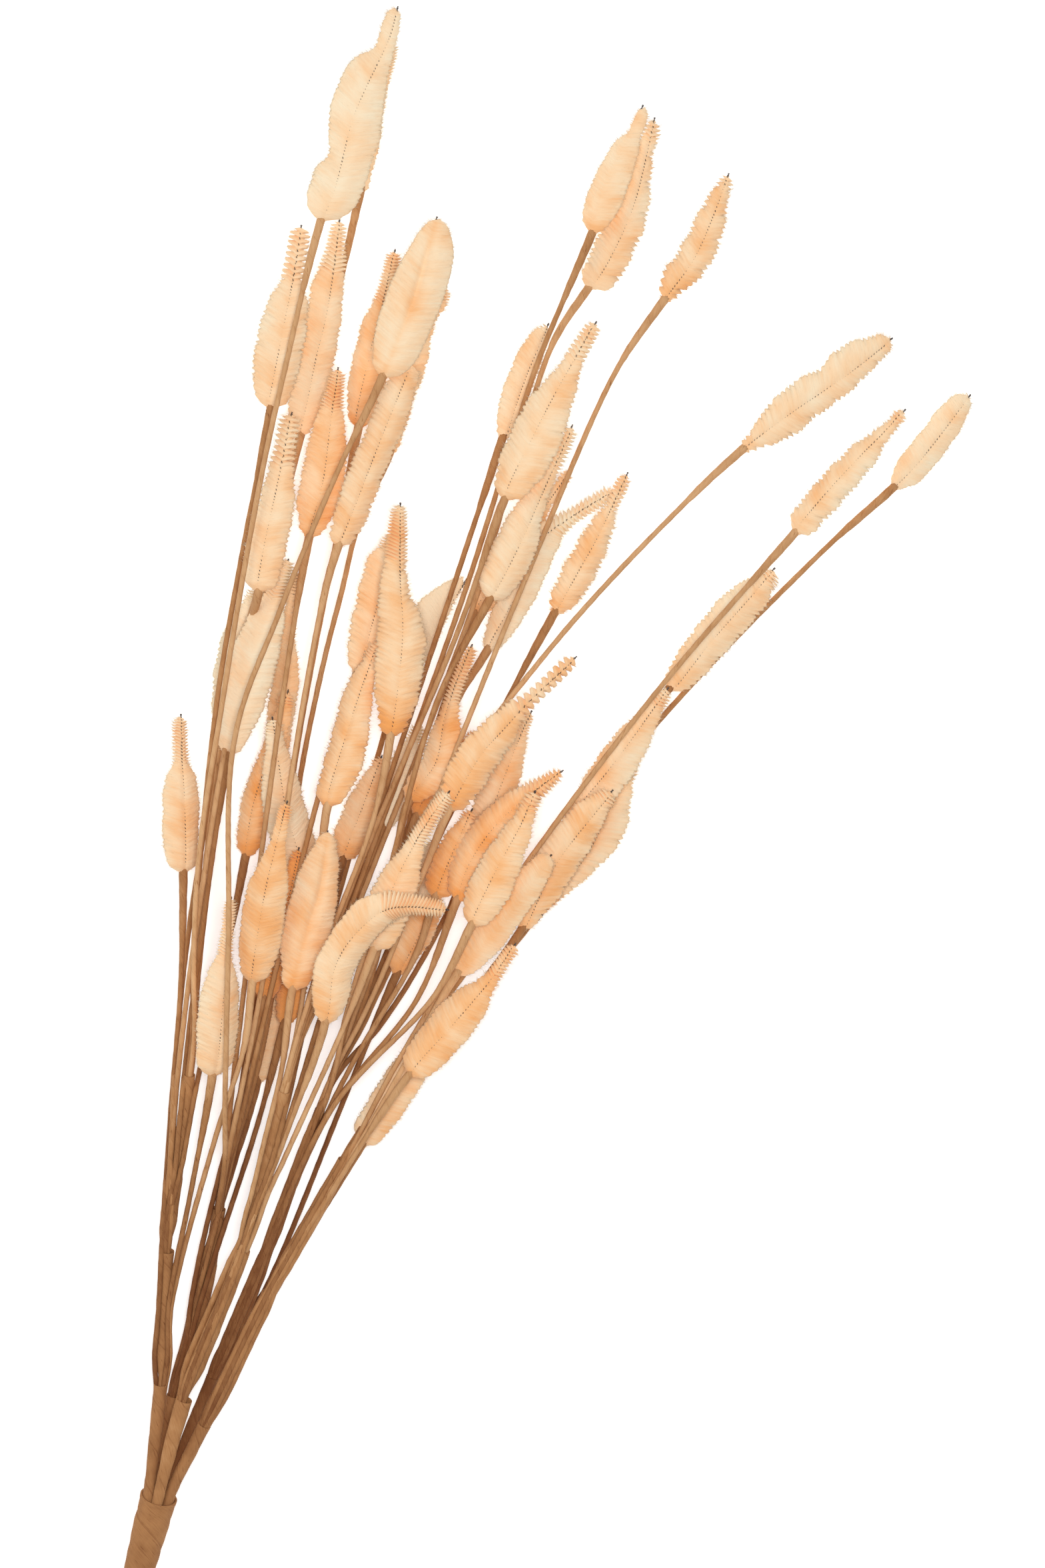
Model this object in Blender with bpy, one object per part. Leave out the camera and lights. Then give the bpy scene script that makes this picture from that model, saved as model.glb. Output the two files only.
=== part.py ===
"""Artificial bunny tail grass spray, lying on a table and seen from above.

Fluffy heads of chenille pile stand on paper-taped wire stems. The stems leave
five taped branch sheaths at their mouths, and one thick tape wrap holds the
five branch butts together. X runs across the spray, Y along it from the wrap
to the tips, and Z up from the table.
"""
from collections import namedtuple
from math import cos, pi, radians, sin

import bmesh
import bpy
import numpy as np
from mathutils import Matrix, Vector

# Scale and middle of the photograph, whose pixels place the stalks
PIXEL = 0.00033
PHOTO_MIDDLE = (784, 1176)

# Wrap round the branch butts, along its axis from the cut end to the rim
WRAP_CUT = (189, 2425)
WRAP_RIM = (237, 2247)
WRAP_RADIUS_CUT = 0.0074
WRAP_RADIUS_RIM = 0.0096
WRAP_WALL = 0.0008
WRAP_SIDES = 12
BUTT_RADIUS_CUT = 0.0021
BUTT_RADIUS_RIM = 0.0029
BUTT_SPACE = 0.0004

# Branch sheaths: sides, spans from mouth to mouth, and how far the start of a
# later one is drawn in where it is tucked into the one before
SHEATH_SIDES = 8
SHEATH_SPANS = 4
TUCKED_SHARE = 0.7

# Stems: thin taped wire, with a thicker taped stretch under each head
STEM_RADIUS = 0.0015
COLLAR_RADIUS = 0.0026
COLLAR_LENGTH = 0.028
COLLAR_STEP = 0.004
ROOT_DEPTH = 0.012
ROOT_SPREAD = 0.0011
STEM_RINGS = 8
STEM_SIDES = 5

# Heads: flattened pile with ridges across it and a narrow bristly neck
HEAD_FLATNESS = 0.56
HEAD_SIDES = 6
BODY_TEETH = 4
NECK_TOOTH = 0.0066
BODY_RIDGE = 0.05
NECK_RIDGE = 0.2
BASE_RATIO = 0.45
BELLY = 0.3
WIRE_END = 0.003
HEAD_TILT = 20

# Layers: heads and stems lie over each other with clear air between them
SEAT_GAP = 0.0003
CLEAR_AIR = 0.0009
LAYER_NEAR = 0.0045
LAYER_GROWTH = 0.0115
LOWEST_HEAD = 1.2
STEM_RISE = 0.9
FLAT_SPOT = 0.0004
FLOOR_SHARE = HEAD_FLATNESS + 0.12
SHARED_ROOT = 0.05
SAMPLE_STEP = 0.005
ROUNDS = 2000
SPRING = 0.5
SPRING_STOPS = 0.93
PRESSED_NEAREST = 0.75
PRESSED_FARTHEST = 0.88

# Samples taken along sheaths, stems and heads to find where they cross
SHEATH, STEM, HEAD = 0, 1, 2
SAMPLE = np.dtype([
    ("owner", int), ("branch", int), ("kind", int), ("place", float, 2), ("wide", float),
    ("thick", float), ("low", int), ("share", float), ("run", float)])

# Branch sheaths: route of each from the wrap's rim, with height and radius, in
# millimetres, and the numbers of the route's points where a mouth lets stems out
Branch = namedtuple("Branch", "turn route mouths")
BRANCHES = {
    "left_front": Branch(162, [
        (224, 2228, 11.0, 2.8), (240, 2077, 13.5, 3.5),
        (250, 1877, 18.0, 3.7), (284, 1612, 27.0, 3.0)], (1, 2, 3)),
    "left_back": Branch(234, [
        (232, 2230, 4.7, 2.7), (258, 2095, 5.6, 3.0),
        (303, 1960, 8.0, 3.0), (328, 1814, 11.0, 3.3)], (1, 3)),
    "middle": Branch(90, [
        (241, 2230, 15.3, 2.9), (276, 2100, 20.0, 4.2),
        (365, 1874, 29.0, 3.5), (427, 1636, 40.0, 2.9)], (1, 2, 3)),
    "right_back": Branch(306, [
        (250, 2234, 4.7, 2.7), (318, 2067, 7.0, 3.1),
        (394, 1887, 10.0, 3.0), (480, 1665, 16.0, 2.6)], (1, 2, 3)),
    "right_front": Branch(18, [
        (257, 2236, 11.3, 2.8), (306, 2138, 15.5, 3.4),
        (402, 1940, 23.5, 3.1), (515, 1740, 31.0, 2.7)], (1, 2, 3)),
}

# Heads: branch, mouth, layer up from the table, width and tip width in pixels,
# share of the length that is neck, points that the stem passes, and points
# that the head passes from its base to its tip
Head = namedtuple("Head", "branch mouth layer width tip neck stem axis")
HEADS = {
    "left_front_01": Head("left_front", 3, 7, 85, 33, 0.24,
                          [(297, 1306), (331, 1073), (401, 675)],
                          [(485, 334), (504, 282), (530, 181), (550, 131), (583, 57), (594, 13)]),
    "left_front_02": Head("left_front", 3, 0, 60, 24, 0.25,
                          [(322, 1250), (400, 860), (488, 520)],
                          [(547, 290), (572, 175), (590, 60)]),
    "left_front_03": Head("left_front", 3, 4, 74, 24, 0.33,
                          [(292, 1398), (326, 1050), (369, 799)],
                          [(401, 613), (424, 493), (439, 420), (452, 340)]),
    "left_front_04": Head("left_front", 3, 3, 62, 24, 0.26,
                          [(304, 1330), (352, 1010), (415, 790)],
                          [(450, 655), (470, 541), (488, 461), (509, 330)]),
    "left_front_05": Head("left_front", 2, 5, 62, 24, 0.32,
                          [(268, 1600), (310, 1290), (362, 990)],
                          [(386, 888), (399, 819), (418, 728), (438, 621)]),
    "left_front_06": Head("left_front", 2, 3, 78, 24, 0.22,
                          [(282, 1560), (322, 1260)],
                          [(342, 1134), (365, 1040), (400, 930), (432, 841)]),
    "left_front_07": Head("left_front", 2, 2, 50, 22, 0.12,
                          [(270, 1500), (308, 1230)],
                          [(330, 1107), (356, 1000), (390, 880)]),
    "left_front_08": Head("left_front", 1, 3, 57, 20, 0.32,
                          [(239, 1941), (255, 1678), (272, 1470)],
                          [(278, 1310), (272, 1147), (271, 1073)]),
    "left_front_09": Head("left_front", 2, 2, 48, 22, 0.1,
                          [(300, 1600), (345, 1400)],
                          [(367, 1287), (382, 1208), (419, 1092), (432, 1037)]),
    "left_front_10": Head("left_front", 1, 7, 65, 26, 0.12,
                          [(262, 1930), (325, 1700), (366, 1570)],
                          [(378, 1474), (390, 1398), (404, 1321), (432, 1204)]),
    "left_front_11": Head("left_front", 1, 7, 66, 20, 0.34,
                          [(252, 1960), (288, 1780)],
                          [(320, 1615), (330, 1494), (342, 1402), (348, 1347)]),
    "left_back_01": Head("left_back", 2, 4, 65, 24, 0.26,
                         [(352, 1600), (410, 1150)],
                         [(462, 808), (484, 721), (495, 638), (507, 553)]),
    "left_back_02": Head("left_back", 2, 1, 60, 20, 0.32,
                         [(372, 1590), (452, 1080), (505, 800)],
                         [(533, 640), (555, 545), (577, 450), (592, 375)]),
    "left_back_03": Head("left_back", 2, 9, 82, 36, 0.07,
                         [(344, 1420), (353, 1107), (418, 923), (507, 707)],
                         [(573, 566), (615, 455), (659, 330)]),
    "left_back_04": Head("left_back", 2, 6, 65, 30, 0.1,
                         [(400, 1440), (441, 1141), (487, 887)],
                         [(506, 820), (530, 757), (556, 689), (596, 590), (616, 545)]),
    "left_back_05": Head("left_back", 2, 3, 60, 30, 0.1,
                         [(396, 1560), (458, 1120), (540, 805)],
                         [(600, 690), (645, 520), (676, 434)]),
    "left_back_06": Head("left_back", 2, 1, 62, 24, 0.15,
                         [(360, 1640), (402, 1350)],
                         [(425, 1150), (440, 1000), (452, 858)]),
    "left_back_07": Head("left_back", 1, 3, 65, 26, 0.1,
                         [(318, 1860), (400, 1520)],
                         [(450, 1330), (424, 1202), (409, 1078)]),
    "left_back_08": Head("left_back", 1, 3, 50, 24, 0.1,
                         [(300, 1880), (350, 1680)],
                         [(394, 1503), (434, 1337), (448, 1274)]),
    "left_back_09": Head("left_back", 1, 2, 45, 24, 0.1,
                         [(320, 1890), (385, 1690)],
                         [(425, 1540), (450, 1430), (470, 1330)]),
    "left_back_10": Head("left_back", 1, 0, 50, 24, 0.1,
                         [(296, 1920), (350, 1750)],
                         [(385, 1625), (408, 1530), (425, 1440)]),
    "left_back_11": Head("left_back", 2, 4, 62, 24, 0.16,
                         [(408, 1480), (490, 1150)],
                         [(534, 1014), (550, 953), (568, 883), (590, 800)]),
    "middle_01": Head("middle", 3, 6, 72, 20, 0.26,
                      [(486, 1430), (560, 1230)],
                      [(586, 1105), (603, 951), (600, 870), (601, 757)]),
    "middle_02": Head("middle", 3, 5, 75, 22, 0.14,
                      [(450, 1520), (478, 1330)],
                      [(491, 1212), (518, 1122), (544, 1037), (569, 962)]),
    "middle_03": Head("middle", 2, 1, 50, 24, 0.12,
                      [(420, 1700), (486, 1400)],
                      [(513, 1292), (544, 1210), (572, 1135)]),
    "middle_04": Head("middle", 3, 0, 60, 30, 0.08,
                      [(480, 1440), (568, 1140)],
                      [(620, 1005), (660, 930), (700, 868)]),
    "middle_05": Head("middle", 2, 1, 42, 20, 0.2,
                      [(430, 1690), (532, 1360)],
                      [(572, 1245), (609, 1135), (632, 1086)]),
    "middle_06": Head("middle", 3, 5, 72, 28, 0.1,
                      [(552, 1290), (700, 880), (804, 552), (849, 437)],
                      [(885, 350), (915, 270), (964, 160)]),
    "middle_07": Head("middle", 3, 3, 60, 20, 0.14,
                      [(556, 1310), (706, 920), (829, 521)],
                      [(885, 434), (915, 384), (950, 305), (982, 178)]),
    "middle_08": Head("middle", 3, 1, 48, 24, 0.08,
                      [(530, 1330), (690, 850)],
                      [(752, 662), (780, 570), (822, 487)]),
    "middle_09": Head("middle", 3, 5, 76, 24, 0.24,
                      [(520, 1350), (690, 940)],
                      [(757, 750), (802, 660), (844, 576), (894, 485)]),
    "middle_10": Head("middle", 2, 6, 70, 24, 0.38,
                      [(426, 1740), (520, 1530)],
                      [(560, 1425), (600, 1315), (634, 1248), (674, 1188)]),
    "middle_11": Head("middle", 1, 9, 66, 20, 0.34,
                      [(340, 1930), (430, 1700)],
                      [(488, 1536), (500, 1450), (530, 1400), (575, 1363), (611, 1358), (671, 1364)]),
    "middle_12": Head("middle", 2, 6, 78, 34, 0.06,
                      [(388, 1750), (420, 1610)],
                      [(435, 1486), (462, 1381), (477, 1337), (492, 1248)]),
    "right_back_01": Head("right_back", 3, 3, 62, 20, 0.38,
                          [(530, 1500), (590, 1300)],
                          [(613, 1204), (657, 1147), (672, 1065), (708, 968)]),
    "right_back_02": Head("right_back", 3, 4, 50, 20, 0.1,
                          [(620, 1290), (800, 840), (924, 558)],
                          [(994, 455), (1044, 387), (1070, 328), (1093, 262)]),
    "right_back_03": Head("right_back", 3, 4, 72, 24, 0.26,
                          [(560, 1400), (658, 1046)],
                          [(733, 900), (770, 827), (815, 733), (858, 640)]),
    "right_back_04": Head("right_back", 3, 1, 55, 24, 0.1,
                          [(556, 1440), (660, 1070)],
                          [(710, 922), (790, 800), (856, 705)]),
    "right_back_05": Head("right_back", 3, 2, 60, 20, 0.36,
                          [(580, 1390), (681, 1060)],
                          [(729, 979), (780, 890), (815, 812), (853, 780), (922, 737)]),
    "right_back_06": Head("right_back", 3, 2, 50, 22, 0.26,
                          [(610, 1360), (761, 1051)],
                          [(831, 923), (864, 862), (895, 807), (941, 711)]),
    "right_back_07": Head("right_back", 3, 4, 62, 24, 0.08,
                          [(600, 1290), (823, 976), (1035, 747)],
                          [(1110, 677), (1180, 620), (1258, 567), (1338, 508)]),
    "right_back_08": Head("right_back", 2, 6, 70, 26, 0.16,
                          [(500, 1660), (650, 1495)],
                          [(706, 1388), (750, 1300), (784, 1235), (803, 1188)]),
    "right_back_09": Head("right_back", 2, 4, 62, 24, 0.27,
                          [(496, 1666), (625, 1500)],
                          [(684, 1354), (710, 1291), (750, 1235), (803, 1188), (843, 1157)]),
    "right_back_10": Head("right_back", 3, 5, 64, 24, 0.42,
                          [(570, 1470), (641, 1293)],
                          [(672, 1215), (719, 1131), (756, 1090), (796, 1049), (863, 987)]),
    "right_back_11": Head("right_back", 3, 2, 55, 24, 0.2,
                          [(610, 1480), (690, 1330)],
                          [(718, 1262), (756, 1162), (781, 1101), (797, 1068)]),
    "right_back_12": Head("right_back", 3, 2, 55, 24, 0.12,
                          [(540, 1520), (600, 1310)],
                          [(624, 1226), (672, 1160), (718, 1098)]),
    "right_back_13": Head("right_back", 2, 3, 50, 24, 0.14,
                          [(520, 1612), (625, 1430)],
                          [(652, 1348), (680, 1280), (708, 1215)]),
    "right_back_14": Head("right_back", 1, 2, 62, 26, 0.12,
                          [(400, 1930), (520, 1640)],
                          [(594, 1466), (614, 1425), (655, 1340)]),
    "right_back_15": Head("right_back", 3, 1, 50, 24, 0.1,
                          [(520, 1590), (562, 1499)],
                          [(605, 1400), (628, 1330), (650, 1260)]),
    "right_front_01": Head("right_front", 3, 5, 52, 22, 0.1,
                           [(640, 1520), (793, 1291), (1000, 1020)],
                           [(1192, 800), (1255, 728), (1328, 649), (1357, 616)]),
    "right_front_02": Head("right_front", 3, 0, 52, 28, 0.08,
                           [(680, 1470), (991, 1079), (1237, 825)],
                           [(1338, 735), (1383, 689), (1457, 592)]),
    "right_front_03": Head("right_front", 3, 2, 58, 24, 0.12,
                           [(700, 1440), (900, 1170)],
                           [(1003, 1034), (1074, 948), (1166, 858)]),
    "right_front_04": Head("right_front", 3, 2, 62, 24, 0.15,
                           [(640, 1540), (780, 1350)],
                           [(848, 1238), (915, 1156), (957, 1099), (1002, 1033)]),
    "right_front_05": Head("right_front", 3, 1, 66, 26, 0.1,
                           [(660, 1560), (750, 1450)],
                           [(812, 1375), (891, 1272), (949, 1144)]),
    "right_front_06": Head("right_front", 3, 3, 66, 24, 0.1,
                           [(640, 1580), (730, 1470)],
                           [(784, 1397), (808, 1343), (839, 1284), (918, 1187)]),
    "right_front_07": Head("right_front", 2, 5, 66, 34, 0.06,
                           [(560, 1680), (640, 1540)],
                           [(684, 1465), (750, 1385), (826, 1284)]),
    "right_front_08": Head("right_front", 2, 7, 66, 22, 0.27,
                           [(470, 1830), (578, 1664)],
                           [(615, 1613), (690, 1530), (741, 1465), (773, 1416)]),
    "right_front_09": Head("right_front", 1, 4, 68, 26, 0.1,
                           [(400, 1960), (490, 1810)],
                           [(545, 1720), (600, 1640), (680, 1520)]),
}

# Heads pressed against a neighbour under or beside them, in one piece with it
PRESSED = {
    "left_back_09": "left_back_08",
    "right_back_04": "right_back_05",
    "right_back_12": "right_back_01",
    "right_back_13": "right_back_09",
}

# Heads that carry the spray's far end on the table
RESTING = ("left_front_02", "right_front_02", "middle_04")

TAPE_BROWN = (0.484, 0.274, 0.115)
PILE_PEACH = (0.957, 0.665, 0.427)


def on_table(point):
    """A photograph pixel as a place on the table, in metres."""
    return ((point[0] - PHOTO_MIDDLE[0]) * PIXEL, (PHOTO_MIDDLE[1] - point[1]) * PIXEL)


def smooth_line(points, steps=24):
    """A smooth curve through the points, as closely spaced points."""
    points = np.array(points, float)
    chords = np.linalg.norm(np.diff(points, axis=0), axis=1)
    knots = np.concatenate([[0], np.cumsum(np.sqrt(chords))])
    slopes = np.gradient(points, knots, axis=0)
    u = np.linspace(0, 1, steps, endpoint=False)[:, None]
    spans = []
    for i in range(len(points) - 1):
        width = knots[i + 1] - knots[i]
        spans.append((2 * u**3 - 3 * u**2 + 1) * points[i]
                     + (u**3 - 2 * u**2 + u) * width * slopes[i]
                     + (3 * u**2 - 2 * u**3) * points[i + 1]
                     + (u**3 - u**2) * width * slopes[i + 1])
    return np.vstack(spans + [points[-1:]])


def run_of(line):
    """The distance along a line at each of its points."""
    return np.concatenate([[0], np.cumsum(np.linalg.norm(np.diff(line, axis=0), axis=1))])


def at_runs(line, runs):
    """The line's points at the given distances along it."""
    own = run_of(line)
    return np.column_stack([np.interp(runs, own, column) for column in line.T])


def wrap_axis():
    """The wrap's axis at its cut end and its rim, a flat facet on the table."""
    apothem = cos(pi / WRAP_SIDES)
    ends = []
    for pixel, radius in ((WRAP_CUT, WRAP_RADIUS_CUT), (WRAP_RIM, WRAP_RADIUS_RIM)):
        ends.append(Vector((*on_table(pixel), radius * apothem)))
    return ends


def wrap_frame():
    """The wrap's own directions: along it, across it and upwards."""
    cut, rim = wrap_axis()
    along = (rim - cut).normalized()
    across = along.cross(Vector((0, 0, 1))).normalized()
    return along, across, across.cross(along)


def butt_place(name, end):
    """The middle and radius of a branch butt at the wrap's cut end or rim."""
    radius = (BUTT_RADIUS_CUT, BUTT_RADIUS_RIM)[end]
    ring = (radius + BUTT_SPACE / 2) / sin(pi / len(BRANCHES))
    turn = radians(BRANCHES[name].turn)
    along, across, up = wrap_frame()
    middle = wrap_axis()[end] + ring * (cos(turn) * across + sin(turn) * up)
    return middle, radius


def sheath_line(name):
    """A branch's middle line from the wrap's cut end, with its radius as a
    fourth column, and the runs along it at the wrap's rim and the mouths."""
    branch = BRANCHES[name]
    cut, cut_radius = butt_place(name, 0)
    rim, rim_radius = butt_place(name, 1)
    points = [(*cut, cut_radius), (*cut.lerp(rim, 0.5), (cut_radius + rim_radius) / 2),
              (*rim, rim_radius)]
    for x, y, height, radius in branch.route:
        points.append((*on_table((x, y)), height / 1000, radius / 1000))
    steps = 24
    line = smooth_line(points, steps)
    runs = run_of(line[:, :3])
    mouths = [runs[(3 + number) * steps] for number in branch.mouths]
    return line, runs[2 * steps], mouths


class Stalk:
    """One stem and its head: where they lie on the table, ring by ring."""

    def __init__(self, number, name, head, sheaths):
        self.name, self.head = name, head
        line, _, mouths = sheaths[head.branch]
        mouth = mouths[head.mouth - 1]
        turn = number * 2.4
        root, exit_point = at_runs(line, [mouth - ROOT_DEPTH - 0.0015 * (number % 4), mouth])
        lean = exit_point[:2] - root[:2]
        across = np.array([lean[1], -lean[0]]) / np.linalg.norm(lean)
        shift = ROOT_SPREAD * cos(turn) * across
        self.root_height = root[2] + ROOT_SPREAD * sin(turn)
        places = [root[:2] + shift, exit_point[:2] + shift]
        places += [on_table(pixel) for pixel in head.stem]
        base = len(places)
        places += [on_table(pixel) for pixel in head.axis]
        path = smooth_line(places)
        runs = run_of(path)
        base_run = runs[base * 24]
        self.stem_runs = np.concatenate([
            np.linspace(0, base_run - COLLAR_LENGTH - COLLAR_STEP, STEM_RINGS - 2),
            [base_run - COLLAR_LENGTH, base_run]])
        self.path, self.length = path, runs[-1] - base_run
        self.base_run = base_run
        self.stem = at_runs(path, self.stem_runs)
        self.tilt = radians(HEAD_TILT) * sin(number * 1.7)
        self.half_width = head.width * PIXEL / 2

    def head_shares(self):
        """Places of the head's rings as shares of its length: crests and
        valleys over the body, then closer ones along the neck."""
        neck = self.head.neck
        body = np.linspace(0.05, 1 - neck, 2 * BODY_TEETH)
        teeth = max(1, round(neck * self.length / NECK_TOOTH))
        end = 1 - WIRE_END / self.length
        return np.concatenate([body, np.linspace(1 - neck, end, 2 * teeth + 1)[1:]])

    def width_share(self, share):
        """The head's half width there as a share of its widest half width."""
        head = self.head
        neck_ratio = head.tip / head.width
        body = 1 - head.neck
        if share >= body:
            return neck_ratio * (1 - 0.25 * (share - body) / head.neck)
        u = share / body
        if u < BELLY:
            return BASE_RATIO + (1 - BASE_RATIO) * sin(pi / 2 * u / BELLY) ** 0.8
        fall = cos(pi / 2 * ((u - BELLY) / (1 - BELLY)) ** 1.7)
        return neck_ratio + (1 - neck_ratio) * fall


def layout():
    """All stalks with the height of every ring, so that nothing meets."""
    sheaths = {name: sheath_line(name) for name in BRANCHES}
    stalks = [Stalk(number, name, head, sheaths)
              for number, (name, head) in enumerate(HEADS.items())]
    settle(stalks, sheaths)
    return stalks, sheaths


def first_heights(stalk):
    """A stalk's heights before it is lifted clear, and which of them may move."""
    head_thick = stalk.half_width * HEAD_FLATNESS
    reach = stalk.stem[-1][1] - on_table(WRAP_RIM)[1]
    step = LAYER_NEAR + LAYER_GROWTH * max(0.0, reach)
    top = head_thick * LOWEST_HEAD + stalk.head.layer * step
    share = (stalk.stem_runs / stalk.base_run) ** STEM_RISE
    heights = np.append(stalk.root_height + (top - stalk.root_height) * share, top)
    loose = np.ones(len(heights))
    loose[0] = 0
    if stalk.name in RESTING:
        lowest = np.hypot(stalk.half_width * sin(stalk.tilt), head_thick * cos(stalk.tilt))
        heights[-2:] = lowest - FLAT_SPOT
        loose[-2:] = 0
    return heights, loose


def stem_samples(number, stalk):
    """Points along a stem, straight from each of its rings to the next."""
    runs = np.arange(0, stalk.base_run, SAMPLE_STEP)
    low = np.clip(np.searchsorted(stalk.stem_runs, runs, side="right") - 1, 0, STEM_RINGS - 2)
    span = stalk.stem_runs[low + 1] - stalk.stem_runs[low]
    some = np.zeros(len(runs), SAMPLE)
    some["kind"], some["run"] = STEM, runs
    some["low"] = low + number * (STEM_RINGS + 1)
    some["share"] = (runs - stalk.stem_runs[low]) / span
    step = stalk.stem[low + 1] - stalk.stem[low]
    some["place"] = stalk.stem[low] + step * some["share"][:, None]
    collar = runs > stalk.base_run - COLLAR_LENGTH - COLLAR_STEP
    some["wide"] = some["thick"] = np.where(collar, COLLAR_RADIUS, STEM_RADIUS)
    return some


def head_samples(number, stalk):
    """Points along a head, with its reach across and upwards as it is tilted."""
    shares = np.arange(0, 1.001, SAMPLE_STEP / stalk.length)
    wide = stalk.half_width * np.array([stalk.width_share(min(share, 1)) for share in shares])
    wide *= 1 + BODY_RIDGE
    thick = wide * HEAD_FLATNESS
    some = np.zeros(len(shares), SAMPLE)
    some["kind"], some["run"] = HEAD, stalk.base_run
    some["low"], some["share"] = number * (STEM_RINGS + 1) + STEM_RINGS - 1, shares
    some["place"] = at_runs(stalk.path, stalk.base_run + shares * stalk.length)
    some["wide"] = np.hypot(wide * cos(stalk.tilt), thick * sin(stalk.tilt))
    some["thick"] = np.hypot(wide * sin(stalk.tilt), thick * cos(stalk.tilt))
    return some


def sheath_samples(line, end, low):
    """Points along a branch sheath, whose heights are fixed."""
    points = at_runs(line, np.arange(0, end, SAMPLE_STEP))
    some = np.zeros(len(points), SAMPLE)
    some["kind"], some["place"] = SHEATH, points[:, :2]
    some["wide"] = some["thick"] = points[:, 3]
    some["low"] = low + np.arange(len(points))
    return some, points[:, 2]


def crossings(samples, count):
    """Pairs of samples of two stalks, or of a stalk and a sheath of another
    branch, that are near enough on the table to touch. Near their roots the
    stems of one branch run into each other, so those pairs don't count."""
    pairs = []
    for number in range(count):
        mine = np.flatnonzero(samples["owner"] == number)
        others = np.flatnonzero((samples["owner"] > number) | (samples["owner"] < 0))
        one, two = samples[mine][:, None], samples[others][None]
        gap = np.linalg.norm(one["place"] - two["place"], axis=2)
        near = gap < one["wide"] + two["wide"] + CLEAR_AIR
        same = one["branch"] == two["branch"]
        roots = (one["run"] < SHARED_ROOT) | (two["run"] < SHARED_ROOT)
        near &= ~(same & (one["kind"] == STEM) & (two["kind"] == STEM) & roots)
        near &= ~(same & (two["kind"] == SHEATH))
        a, b = np.nonzero(near)
        pairs.append(np.column_stack([mine[a], others[b]]))
    return np.vstack(pairs).T


def settle(stalks, sheaths):
    """Lift stems and heads apart until each crossing has clear air.

    A stalk has a height at each stem ring and one at its tip, and each of its
    samples reads its own from the two next to it. Of two stalks that cross,
    the one with the higher layer stays on top, and a sheath of another branch
    stays on the side where it is at first."""
    names = [stalk.name for stalk in stalks]
    branches = list(BRANCHES)
    size = STEM_RINGS + 1
    firsts = [first_heights(stalk) for stalk in stalks]
    z = np.concatenate([heights for heights, loose in firsts])
    free = np.concatenate([loose for heights, loose in firsts])
    groups = []
    for number, stalk in enumerate(stalks):
        for some in (stem_samples(number, stalk), head_samples(number, stalk)):
            some["owner"], some["branch"] = number, branches.index(stalk.head.branch)
            groups.append(some)
    for number, name in enumerate(branches):
        line, _, mouths = sheaths[name]
        some, heights = sheath_samples(line, mouths[-1], len(z))
        some["owner"], some["branch"] = -1 - number, number
        groups.append(some)
        z = np.append(z, heights)
    z = np.append(z, 0)
    free = np.append(free, np.zeros(len(z) - len(free)))
    samples = np.concatenate(groups)
    first, second = (samples[side] for side in crossings(samples, len(stalks)))

    gap = np.linalg.norm(first["place"] - second["place"], axis=1)
    reach = first["wide"] + second["wide"] + CLEAR_AIR
    need = first["thick"] + second["thick"] + CLEAR_AIR
    need *= np.sqrt(np.maximum(0, 1 - (gap / reach) ** 2))

    def level(some):
        return z[some["low"]] * (1 - some["share"]) + z[some["low"] + 1] * some["share"]

    one, two = first["owner"], np.maximum(second["owner"], 0)
    leader = np.array([names.index(PRESSED.get(name, name)) for name in names])
    rank = np.array([stalk.head.layer + number / 100 for number, stalk in enumerate(stalks)])
    pressed = (leader[one] == leader[two]) & (first["kind"] == HEAD) & (second["kind"] == HEAD)
    side = np.sign(np.where(leader[one] == leader[two], rank[one] - rank[two],
                            rank[leader[one]] - rank[leader[two]]))
    on_sheath = second["kind"] == SHEATH
    crossing = np.where(on_sheath, len(branches) * one - second["owner"], 0)
    total = np.bincount(crossing, level(first) - level(second))
    side = np.where(on_sheath, np.where(total > 0, 1.0, -1.0)[crossing], side)

    grips = []
    for some, sign in ((first, 1), (second, -1)):
        for node, weight in ((some["low"], 1 - some["share"]), (some["low"] + 1, some["share"])):
            grips.append((node, sign * weight * free[node]))
    stiffness = np.maximum(sum(weight ** 2 for node, weight in grips), 0.1)

    floor = np.full((len(stalks), size), STEM_RADIUS + SEAT_GAP)
    runs = np.zeros((len(stalks), size))
    for number, stalk in enumerate(stalks):
        floor[number, -2:] = stalk.half_width * FLOOR_SHARE + SEAT_GAP
        runs[number] = np.append(stalk.stem_runs, stalk.base_run + stalk.length)
    mix = (runs[:, 1:-1] - runs[:, :-2]) / (runs[:, 2:] - runs[:, :-2])
    movable = free[:len(stalks) * size].reshape(len(stalks), size)
    for step in range(ROUNDS):
        lift = side * (level(first) - level(second))
        near = np.maximum(0, PRESSED_NEAREST * need - lift)
        far = np.maximum(0, lift - PRESSED_FARTHEST * need)
        short = side * np.where(pressed, near - far, np.maximum(0, need - lift))
        push, load = np.zeros(len(z)), np.zeros(len(z))
        for node, weight in grips:
            force = np.abs(weight) * (short != 0)
            push += np.bincount(node, force * weight * short / stiffness, len(z))
            load += np.bincount(node, force, len(z))
        z += push / np.maximum(load, 1e-9)
        table = z[:len(stalks) * size].reshape(len(stalks), size)
        spring = SPRING * max(0.0, 1 - step / (SPRING_STOPS * ROUNDS)) ** 2
        even = table[:, :-2] * (1 - mix) + table[:, 2:] * mix
        table[:, 1:-1] += spring * (even - table[:, 1:-1]) * movable[:, 1:-1]
        table[:, -1] += spring / 3 * (table[:, -2] - table[:, -1]) * movable[:, -1]
        # The two rings of the collar's step stay in line with the stem
        table[:, STEM_RINGS - 3] = even[:, STEM_RINGS - 4]
        np.copyto(table, np.maximum(table, floor), where=movable > 0)
    for stalk, heights in zip(stalks, table):
        stalk.heights = heights.copy()


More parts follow.
